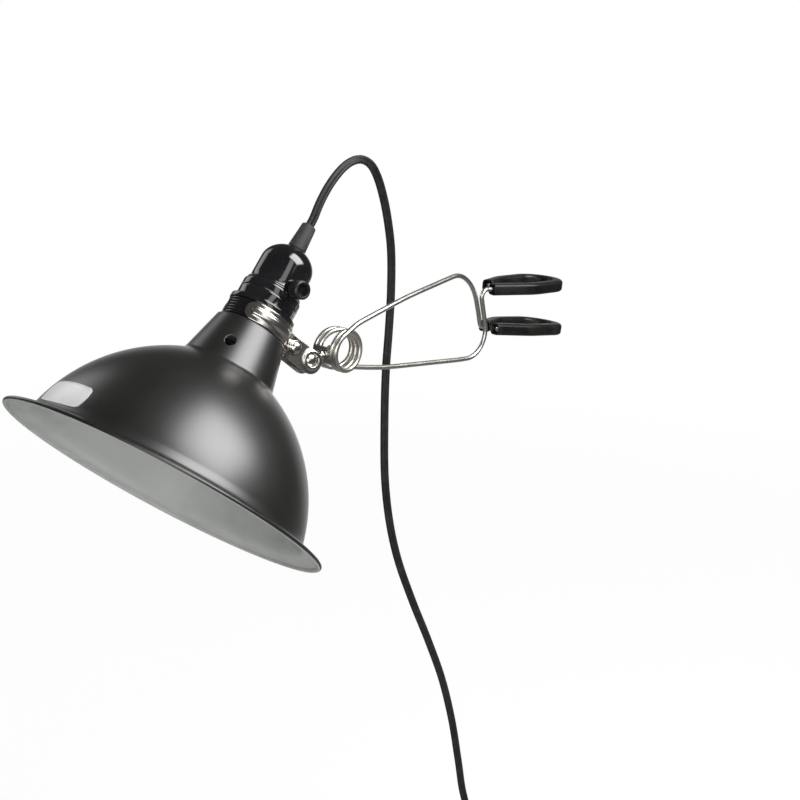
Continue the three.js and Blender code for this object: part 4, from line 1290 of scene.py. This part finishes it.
@dataclass
class LampSocket:
    """The bakelite socket: threaded mantle, cap with its shoulder, rotary knob and cord grip."""

    mantle: float = 20.0
    wall: float = 2.2
    bottom: float = -26.0
    flange: float = 20.5
    flange_low: float = 6.0
    flange_high: float = 9.0
    collar: float = 18.3
    seam: float = 15.5
    cap: float = 16.3
    shoulder: float = 23.0
    dome_start: float = 37.5
    top: float = 50.5
    cap_wall: float = 2.0
    grip_base: float = 5.7
    grip_top: float = 4.5
    grip_length: float = 17.0
    grip_bore: float = 3.0
    insert: float = 16.3
    thread_pitch: float = 1.8
    thread_depth: float = 0.8
    knob: float = 11.0
    knob_bore: float = 2.3
    knob_length: float = 8.5
    knob_end: float = 27.4
    knob_height: float = 24.1
    knob_angle: float = -82.0
    flutes: int = 22

    def knob_place(self) -> Matrix:
        """Returns the matrix from the knob's own axis to the frame."""
        out = Z_AXIS.rotation_difference(polar(self.knob, math.radians(self.knob_angle), 0))
        return HEAD.place() @ moved(0, 0, self.knob_height) @ out.to_matrix().to_4x4()

    def mantle_piece(self) -> bpy.types.Object:
        """Makes the mantle, whose helical outside thread fades out at both ends.

        Returns:
            The piece.
        """
        bore, around, step = self.mantle - self.wall, 144, self.thread_pitch / 8
        levels = [self.bottom + 0.6 + i * step for i in range(int((self.flange_low - self.bottom - 0.8) / step))]
        outside = [(self.mantle - 0.6, self.bottom), *((self.mantle, z) for z in levels)]
        upper = [*rounded([(self.mantle - 0.7, self.flange_low - 0.1), (self.flange, self.flange_low),
                           (self.flange, self.flange_high), (self.collar, self.flange_high + 0.2),
                           (self.collar, self.seam - 1)], 0.7),
                 (self.collar, self.seam - 0.2), (self.collar - 0.12, self.seam - 0.08),
                 (self.insert, self.seam - 0.08)]
        inside = [(self.insert, 1.0), (self.insert - 1.5, 0.7), (self.insert - 1.5, -1.0), (bore, -1.0),
                  (bore, self.bottom)]
        rows = []
        for index, (radius, height) in enumerate([*outside, *upper, *inside]):
            fade = min((height - self.bottom) / 2.5, 1.0, (self.flange_low - 0.3 - height) / 0.9)
            depth = self.thread_depth * max(fade, 0) if 0 < index < len(outside) else 0.0
            row = []
            for k in range(around):
                phase = ((height / self.thread_pitch) - k / around) % 1
                cut = depth * (0.5 - 0.5 * math.cos(2 * math.pi * phase)) ** 0.8
                row.append(polar(radius - cut, 2 * math.pi * k / around, height))
            rows.append(row)
        return Surface.wrapped(rows).piece("socket_mantle_threaded", [BAKELITE], HEAD.place(), crease=50)

    def cap_piece(self) -> bpy.types.Object:
        """Makes the cap, with two fine rings at its shoulder and the boss that the knob turns in.

        Returns:
            The piece.
        """
        end, top, inner = math.acos(self.grip_base / self.cap), self.top - 0.3, self.cap - self.cap_wall
        rise = (top - self.dome_start) / math.sin(end)

        def dome(radius: float, height: float, steps: int) -> Profile:
            """Returns a quarter ellipse from the dome's start up to the cord's outlet."""
            return [(radius * math.cos(end * i / steps), self.dome_start + height * math.sin(end * i / steps))
                    for i in range(steps + 1)]

        outlet, skirt, c, s = self.grip_base - 2, self.collar - self.cap_wall, self.cap, self.seam
        rings = [*arc(self.collar - 2.2, 19.4, 2.2, 0, 62, 8), (c + 0.7, 21.75), (c + 0.62, 22.0),
                 (c + 0.85, 22.3), (c + 0.62, 22.7), (c + 0.12, 22.85), (c, 23.3)]
        profile = [(skirt, s), (self.collar - 0.12, s), (self.collar, s + 0.12), (self.collar, s + 0.8),
                   *rings, (c, 26), *dome(c, rise, 20), (outlet, top), (outlet, top - self.cap_wall),
                   *reversed(dome(inner, rise - self.cap_wall, 10)), (inner, self.shoulder - 2),
                   (skirt, self.shoulder - 3)]
        cap = turned(profile, 128).piece("socket_cap_moulded", [BAKELITE], HEAD.place(), crease=45)
        low, high, wide = inner + 0.4, self.knob_end - self.knob_length - 0.3, self.knob / 2 - 0.2
        boss = turned([(0, low), (wide, low), (wide, high), (0, high)], 48)
        combined(cap, 45, [drum(self.knob_bore, inner - 4, self.knob_end, self.knob_place())],
                 [boss.piece("socket_boss", [BAKELITE], self.knob_place(), crease=45)])
        return cap

    def knob_piece(self) -> bpy.types.Object:
        """Makes the knob: fluted behind a plain lip, with a round recess in its face.

        Returns:
            The piece.
        """
        low, high, r = self.knob_end - self.knob_length, self.knob_end, self.knob / 2
        stations = [(self.knob_bore, low + 3.3, 0), (self.knob_bore, low, 0), (r - 0.9, low, 0),
                    (r - 0.25, low + 0.5, 0.25), (r, low + 1.1, 0.55), (r, high - 2.6, 0.55),
                    (r - 0.1, high - 2.3, 0.25), (r, high - 1.9, 0), (r, high - 0.7, 0),
                    (r - 0.6, high - 0.1, 0), (r - 1.2, high, 0), (r - 1.7, high - 0.2, 0),
                    (r - 2.0, high - 0.8, 0), (r - 2.1, high - 4.2, 0)]
        angles = [2 * math.pi * k / (self.flutes * 8) for k in range(self.flutes * 8)]
        rows = [[polar(radius - depth * (0.5 + 0.5 * math.cos(self.flutes * a)) ** 1.5, a, height) for a in angles]
                for radius, height, depth in stations]
        knob = Surface.tube(rows, mm(0, 0, low + 3.3), mm(0, 0, high - 4.2))
        return knob.piece("switch_knob_fluted", [KNOB_BLACK], self.knob_place(), crease=40)

    def grip_piece(self) -> bpy.types.Object:
        """Makes the tapered cord grip with its flat-sided mouth.

        Returns:
            The piece.
        """
        top, bore, rows = self.top + self.grip_length, self.grip_bore, []
        profile = [(bore, self.top), *rounded([
            (self.grip_base - 0.2, self.top), (self.grip_base, self.top + 0.6), (self.grip_top, top - 0.5),
            (self.grip_top - 0.7, top), (bore, top)], 0.6)]
        for radius, height in profile:
            flat = 0.1 * (height - self.top) / self.grip_length if radius > bore + 0.05 else 0.0
            angles = (2 * math.pi * k / 72 for k in range(72))
            rows.append([mm(radius * math.cos(a), radius * (1 - flat * math.sin(a) ** 2) * math.sin(a), height)
                         for a in angles])
        return Surface.wrapped(rows).piece("cord_grip_tapered", [GRIP_GREY], HEAD.place(), crease=45)

    def build(self) -> None:
        """Makes the socket's outer pieces."""
        ride(self.mantle_piece(), Body.HEAD, "socket_mantle")
        ride(self.cap_piece(), Body.HEAD, "socket_cap")
        ride(self.grip_piece(), Body.HEAD, "cord_grip")
        ride(self.knob_piece(), Body.KNOB, "switch_knob")


@dataclass
class Bulb:
    """A small opal globe bulb with its screw cap."""

    radius: float = 22.5
    length: float = 78.0
    top: float = 0.1
    cap: float = 13.1
    cap_length: float = 22.0
    pitch: float = 3.6

    def build(self) -> None:
        """Makes the glass and the rolled cap."""
        cap_top = self.top - 3
        cap_low, r, place = cap_top - self.cap_length, self.cap, HEAD.place()
        ball = self.top - self.length + self.radius
        glass: Profile = [(0, ball - self.radius),
                          *arc(0, ball, self.radius, -87, math.degrees(math.asin(0.82)), 40),
                          (r - 0.6, cap_low - 3.2), (r - 1, cap_low - 1.6), (r - 1, cap_low - 0.3),
                          (0, cap_low - 0.3)]
        ride(turned(glass, 72).piece("bulb_globe", [OPAL], place, crease=45), Body.HEAD, "bulb_glass")
        threads = (cap_top - 3 - (self.cap_length - 5) * i / 60 for i in range(61))
        metal: Profile = [(0, cap_top - 1.5), (7, cap_top - 1.5), (7, cap_top), (9, cap_top),
                          (r - 0.7, cap_top - 2.6),
                          *((r - 0.45 + 0.4 * math.cos(2 * math.pi * z / self.pitch), z) for z in threads),
                          (r - 0.2, cap_low), (0, cap_low)]
        ride(turned(metal, 72).piece("bulb_cap_rolled", [CAP_METAL], place, crease=60), Body.HEAD, "bulb_cap")


@dataclass
class Shade:
    """The spun shade: cone neck with two vents, dome on one arc, flared lip with a rolled rim."""

    wall: float = 1.0
    neck_top: float = -5.8
    neck_top_radius: float = 21.9
    neck_base: float = -34.5
    neck_base_radius: float = 28.8
    dome_radius: float = 98.6
    lip_start: float = -101.0
    lip_radius: float = 83.8
    rim: float = -109.8
    rim_radius: float = 98.3
    bead: float = 1.2
    opening: float = 20.3
    vent: float = 7.0
    vent_height: float = -22.5
    vent_angles: tuple[float, ...] = (-131.6, 48.4)
    plate_angle: float = -172.5
    plate_half_width: float = 20.5
    plate_half_height: float = 7.2
    plate_corner: float = 3.4
    plate_bow: float = 0.5
    plate_foot: float = -1.6
    plate_sheet: float = 0.5

    def dome_centre(self) -> Vector:
        """Finds the centre of the dome's arc.

        Returns:
            The centre in the profile's plane.
        """
        a, b = Vector((self.neck_base_radius, self.neck_base)), Vector((self.lip_radius, self.lip_start))
        chord = b - a
        inward = Vector((chord.y, -chord.x)).normalized()
        return (a + b) / 2 + inward * math.sqrt(self.dome_radius ** 2 - chord.length_squared / 4)

    def outside(self) -> Profile:
        """Draws the outside.

        Returns:
            The profile from the neck's edge to the start of the rolled rim.
        """
        c, r, z = self.dome_centre(), self.lip_radius, self.lip_start
        first = math.degrees(math.atan2(self.neck_base - c.y, self.neck_base_radius - c.x))
        last = math.degrees(math.atan2(z - c.y, r - c.x))
        dome = arc(c.x, c.y, self.dome_radius, first, last, 56)
        neck = rounded([(self.neck_top_radius - 0.8, self.neck_top), (self.neck_top_radius, self.neck_top - 0.8),
                        (self.neck_base_radius, self.neck_base), dome[3]], 2.2, 6)
        lip = rounded([dome[-2], dome[-1], (r + 1.1, z - 3), (r + 2.6, z - 5.4), (r + 6.5, z - 6.4),
                       (self.rim_radius - self.bead, self.rim + self.bead * 1.4)], 1.4, 5)
        return [*neck, *dome[4:-2], *lip]

    def profile(self) -> tuple[Profile, int]:
        """Draws the whole section of the sheet.

        Returns:
            The closed profile and the number of the point where the lining starts.
        """
        outside, inside = self.outside(), []
        ends = [outside[0], *outside, outside[-1]]
        for (r0, z0), (r, z), (r1, z1) in zip(ends, ends[1:], ends[2:]):
            length = math.hypot(r1 - r0, z1 - z0)
            inside.append((r + self.wall * (z1 - z0) / length, z - self.wall * (r1 - r0) / length))
        bead = arc(self.rim_radius, self.rim, self.bead, 100, -160, 14)
        neck = self.neck_top - self.wall
        return [(self.opening, self.neck_top), *outside, *bead, *inside[:3:-1],
                (self.neck_top_radius - self.wall, neck), (self.opening, neck)], len(outside) + 9

    def build(self) -> None:
        """Makes the shade and its bare plate."""
        (profile, lining), place = self.profile(), HEAD.place()
        shell = turned(profile, 192, finish=lambda row: int(lining <= row < len(profile) - 1))
        shade = shell.piece("spun_shade", [SHADE_BLACK, SHADE_GREY], place, crease=40)
        combined(shade, 40, [
            drum(self.vent / 2, 21, 35,
                 place @ turned_by(angle, "Z") @ moved(0, 0, self.vent_height) @ turned_by(90, "Y"), finish=1)
            for angle in self.vent_angles])
        ride(shade, Body.HEAD, "shade")
        ride(self.plate(place), Body.HEAD)

    def on_dome(self, along: float, up: float, stand: float) -> Vector:
        """Finds a point over the dome.

        Args:
            along: Distance round the dome from the plate's middle, in mm.
            up: Distance up the dome from the plate's middle.
            stand: Height above the lacquer.

        Returns:
            The point in metres, in the socket's axes.
        """
        c, radius = self.dome_centre(), self.dome_radius + stand
        last = math.atan2(self.lip_start - c.y, self.lip_radius - c.x)
        a = last + (up + self.plate_half_height + self.plate_foot) / self.dome_radius
        b = math.radians(self.plate_angle) + along / self.lip_radius
        return polar(c.x + radius * math.cos(a), b, c.y + radius * math.sin(a))

    def plate_outline(self) -> Profile:
        """Draws the outline of the bare plate: round corners, and sides that bow a little.

        Returns:
            The closed outline, about the plate's middle.
        """
        w, h, bow = self.plate_half_width, self.plate_half_height, self.plate_bow
        across, upright = w - self.plate_corner, h - self.plate_corner
        xs = (across * (i / 8 - 1) for i in range(17))
        ys = (upright * (1 - i / 4) for i in range(5))
        upper = [*((x, h + bow * (1 - (x / across) ** 2)) for x in xs),
                 *arc(across, upright, self.plate_corner, 75, 15, 4),
                 *((w + bow * (1 - (y / upright) ** 2), y) for y in ys)]
        lower = [(x, -y) for x, y in reversed(upper)]
        half = [p for p in (*upper, *lower[1:]) if p[0] >= 0]
        return [*half, *((-x, y) for x, y in reversed(half[1:-1]))]

    def plate(self, place: Matrix) -> bpy.types.Object:
        """Makes the bare plate that lies on the dome above the lip.

        Args:
            place: From the socket's axes to the frame.

        Returns:
            The piece.
        """
        sheet, foot = self.plate_sheet, 0.02
        rows = [[self.on_dome(x * scale, y * scale, stand) for x, y in self.plate_outline()]
                for scale, stand in ((1, foot), (1, sheet * 0.8), (0.985, sheet), (0.93, sheet), (0.91, sheet - 0.18),
                                     *((0.88 - 0.08 * step, sheet - 0.2) for step in range(11)))]
        plate = Surface.tube(rows, self.on_dome(0, 0, foot), self.on_dome(0, 0, sheet - 0.2))
        return plate.piece("bare_plate", [PLATE_STEEL], place, crease=30)


def seen_rays(graph: Graph, glossy: bool) -> bpy.types.NodeSocket:
    """Adds up the rays that see a white surround.

    Args:
        graph: The graph of the surround or the floor.
        glossy: Whether reflections count as well.

    Returns:
        A value of 1 for those rays and 0 for the others.
    """
    path = graph.add("LightPath").outputs
    total = graph.maths("ADD", path["Is Camera Ray"], path["Is Transmission Ray"], clamp=True)
    return graph.maths("ADD", total, path["Is Glossy Ray"], clamp=True) if glossy else total


def fill_soft_edge(graph: Graph, given: Sockets) -> Sockets:
    """Adds the nodes that fade a lamp's face towards its four edges.

    Args:
        graph: The group's graph.
        given: Edge, the distance from the middle where the fade starts.

    Returns:
        Strength.
    """
    apart = graph.add("SeparateXYZ", {"Vector": graph.add("NewGeometry").outputs["Parametric"]}).outputs
    fades = [graph.ramp(graph.maths("ABSOLUTE", graph.maths("SUBTRACT", apart[axis], 0.5)), given["Edge"], 0.5,
                        1.0, 0.04) for axis in "XY"]
    return {"Strength": graph.maths("MULTIPLY", *fades)}


def fill_white_ahead(graph: Graph, given: Sockets) -> Sockets:
    """Adds the nodes that tell how white the surround is in a direction from the lamp.

    Args:
        graph: The group's graph.
        given: Direction and Ahead.

    Returns:
        Strength, 1 straight ahead and low elsewhere.
    """
    facing = graph.vector("DOT_PRODUCT", graph.vector("NORMALIZE", given["Direction"]), given["Ahead"])
    return {"Strength": graph.ramp(facing, 0.82, 1.0, 0.05, 1.0)}


@dataclass
class Studio:
    """A plain pale floor, a white surround and soft lights, with the camera."""

    camera_at: RGB = (-829.9, -548.1, 145.7)
    right: RGB = (0.64474, -0.76033, 0.07875)
    up: RGB = (0.12995, 0.21055, 0.96891)
    lens: float = 61.65
    sensor: float = 36.0
    floor: float = -430.5
    floor_reach: float = 40.0
    floor_grey: float = 0.86
    floor_roughness: float = 0.9
    fade_from: float = 0.3
    fade_to: float = 1.6
    near_white: float = 0.86
    ambient: float = 0.42
    light_edge: float = 0.3
    aim: RGB = (-300.0, 0.0, -20.0)

    def camera(self) -> None:
        """Makes the camera that looks at the lamp from its front left."""
        data = bpy.data.cameras.new("camera")
        data.lens, data.sensor_width = self.lens, self.sensor
        data.clip_start, data.clip_end = 0.01, 50
        camera = linked("camera", data)
        right, up = Vector(self.right).normalized(), Vector(self.up)
        up = (up - right * up.dot(right)).normalized()
        facing = Matrix((right, up, right.cross(up))).transposed().to_4x4()
        camera.matrix_world = moved(*self.camera_at) @ facing
        bpy.context.scene.camera = camera

    def softbox(self, name: str, toward: RGB, distance: float, size: tuple[float, float], power: float) -> None:
        """Hangs a soft area light.

        Args:
            name: The light's name.
            toward: Its direction from the lamp: right, up and back towards the camera.
            distance: Metres from the lamp.
            size: Width and height in metres.
            power: Watts.
        """
        right, up = Vector(self.right), Vector(self.up)
        out = (right * toward[0] + up * toward[1] + right.cross(up) * toward[2]).normalized()
        data = bpy.data.lights.new(name, "AREA")
        data.shape, data.energy, data.use_nodes = "RECTANGLE", power, True
        data.size, data.size_y = size
        graph = Graph(data.node_tree)
        soft_edge = shared_group("Soft edge", {"Edge": "Float"}, {"Strength": "Float"}, fill_soft_edge)
        fade = graph.add("Group", {"Edge": self.light_edge}, node_tree=soft_edge)
        graph.feed(data.node_tree.nodes["Emission"], {"Strength": fade.outputs["Strength"]})
        light = linked(name, data)
        light.location = mm(*self.aim) + out * distance
        light.rotation_euler = out.to_track_quat("Z", "Y").to_euler()
        light.visible_camera = False

    def ahead(self, graph: Graph, direction: bpy.types.NodeSocket) -> bpy.types.NodeSocket:
        """Adds the shared group that tells how white the surround is.

        Args:
            graph: The graph of the surround or the floor.
            direction: A direction from the lamp.

        Returns:
            The strength in that direction.
        """
        group = shared_group("White ahead", {"Direction": "Vector", "Ahead": "Vector"}, {"Strength": "Float"},
                             fill_white_ahead)
        inputs = {"Direction": direction, "Ahead": Vector(self.right).cross(Vector(self.up)) * -1}
        return graph.add("Group", inputs, node_tree=group).outputs["Strength"]

    def surround(self) -> None:
        """Makes the world: white where the camera looks, softer and darker behind it."""
        world = bpy.context.scene.world = bpy.data.worlds.new("surround")
        world.use_nodes = True
        world.node_tree.nodes.clear()
        graph = Graph(world.node_tree)
        ahead = self.ahead(graph, graph.add("TexCoord").outputs["Generated"])
        level = graph.add("Mix", {"Factor": graph.add("LightPath").outputs["Is Glossy Ray"], "A": self.ambient,
                                  "B": ahead})
        plain = {"Color": (1, 1, 1, 1)}
        soft = graph.add("Background", {**plain, "Strength": level.outputs["Result"]})
        white = graph.add("Background", plain)
        mix = graph.add("MixShader", {"Fac": seen_rays(graph, glossy=False), 1: soft.outputs["Background"],
                                      2: white.outputs["Background"]})
        graph.add("OutputWorld", {"Surface": mix.outputs["Shader"]})

    def floor_plane(self) -> None:
        """Makes the pale floor, which shows as the white surround but for a trace of shadow."""
        mesh, reach = bpy.data.meshes.new("floor"), self.floor_reach
        mesh.from_pydata([(x * reach, y * reach, self.floor * MM) for y in (-1, 1) for x in (-1, 1)], [],
                         [(0, 1, 3, 2)])
        material = bpy.data.materials.new("Pale floor")
        material.use_nodes = True
        graph, nodes = Graph(material.node_tree), material.node_tree.nodes
        matt = nodes["Principled BSDF"]
        graph.feed(matt, {"Base Color": (*[self.floor_grey] * 3, 1), "Roughness": self.floor_roughness})
        place = graph.add("TexCoord").outputs["Object"]
        spread = graph.ramp(graph.vector("LENGTH", place), self.fade_from, self.fade_to, self.near_white,
                            kind="LINEAR")
        ahead = self.ahead(graph, graph.vector("SUBTRACT", place, mm(*self.aim)))
        glow = graph.add("Emission", {"Strength": graph.maths("MAXIMUM", seen_rays(graph, glossy=False), ahead)})
        mix = graph.add("MixShader", {"Fac": graph.maths("MULTIPLY", seen_rays(graph, glossy=True), spread),
                                      1: matt.outputs["BSDF"], 2: glow.outputs["Emission"]})
        graph.feed(nodes["Material Output"], {"Surface": mix.outputs["Shader"]})
        mesh.materials.append(material)
        linked("floor", mesh)

    def light(self) -> None:
        """Hangs a large light to the right, strips in front and behind, and a dim wide one in front."""
        self.softbox("key", (0.71, 0.62, 0.31), 1.5, (1.35, 1.45), 44)
        self.softbox("front_strip", (0.54, 0.26, 0.8), 1.5, (0.46, 1.3), 3)
        self.softbox("front_fill", (-0.05, -0.1, 0.99), 1.6, (1.7, 1.0), 16)
        self.softbox("rim_strip", (-0.68, 0.53, -0.5), 1.4, (0.62, 1.3), 3)


def main() -> None:
    """Builds the studio and the lamp."""
    logging.basicConfig(level=logging.INFO, format="%(message)s", stream=sys.stdout)
    bpy.context.scene.view_settings.view_transform = "Standard"
    studio = Studio()
    studio.camera()
    for assembly in (MainsLead(), SpringClip(), BallStud(), SocketClamp(), LampSocket(), Bulb(), Shade()):
        assembly.build()
    dress_cad_nodes()
    studio.surround()
    studio.floor_plane()
    studio.light()


if __name__ == "__main__":
    main()
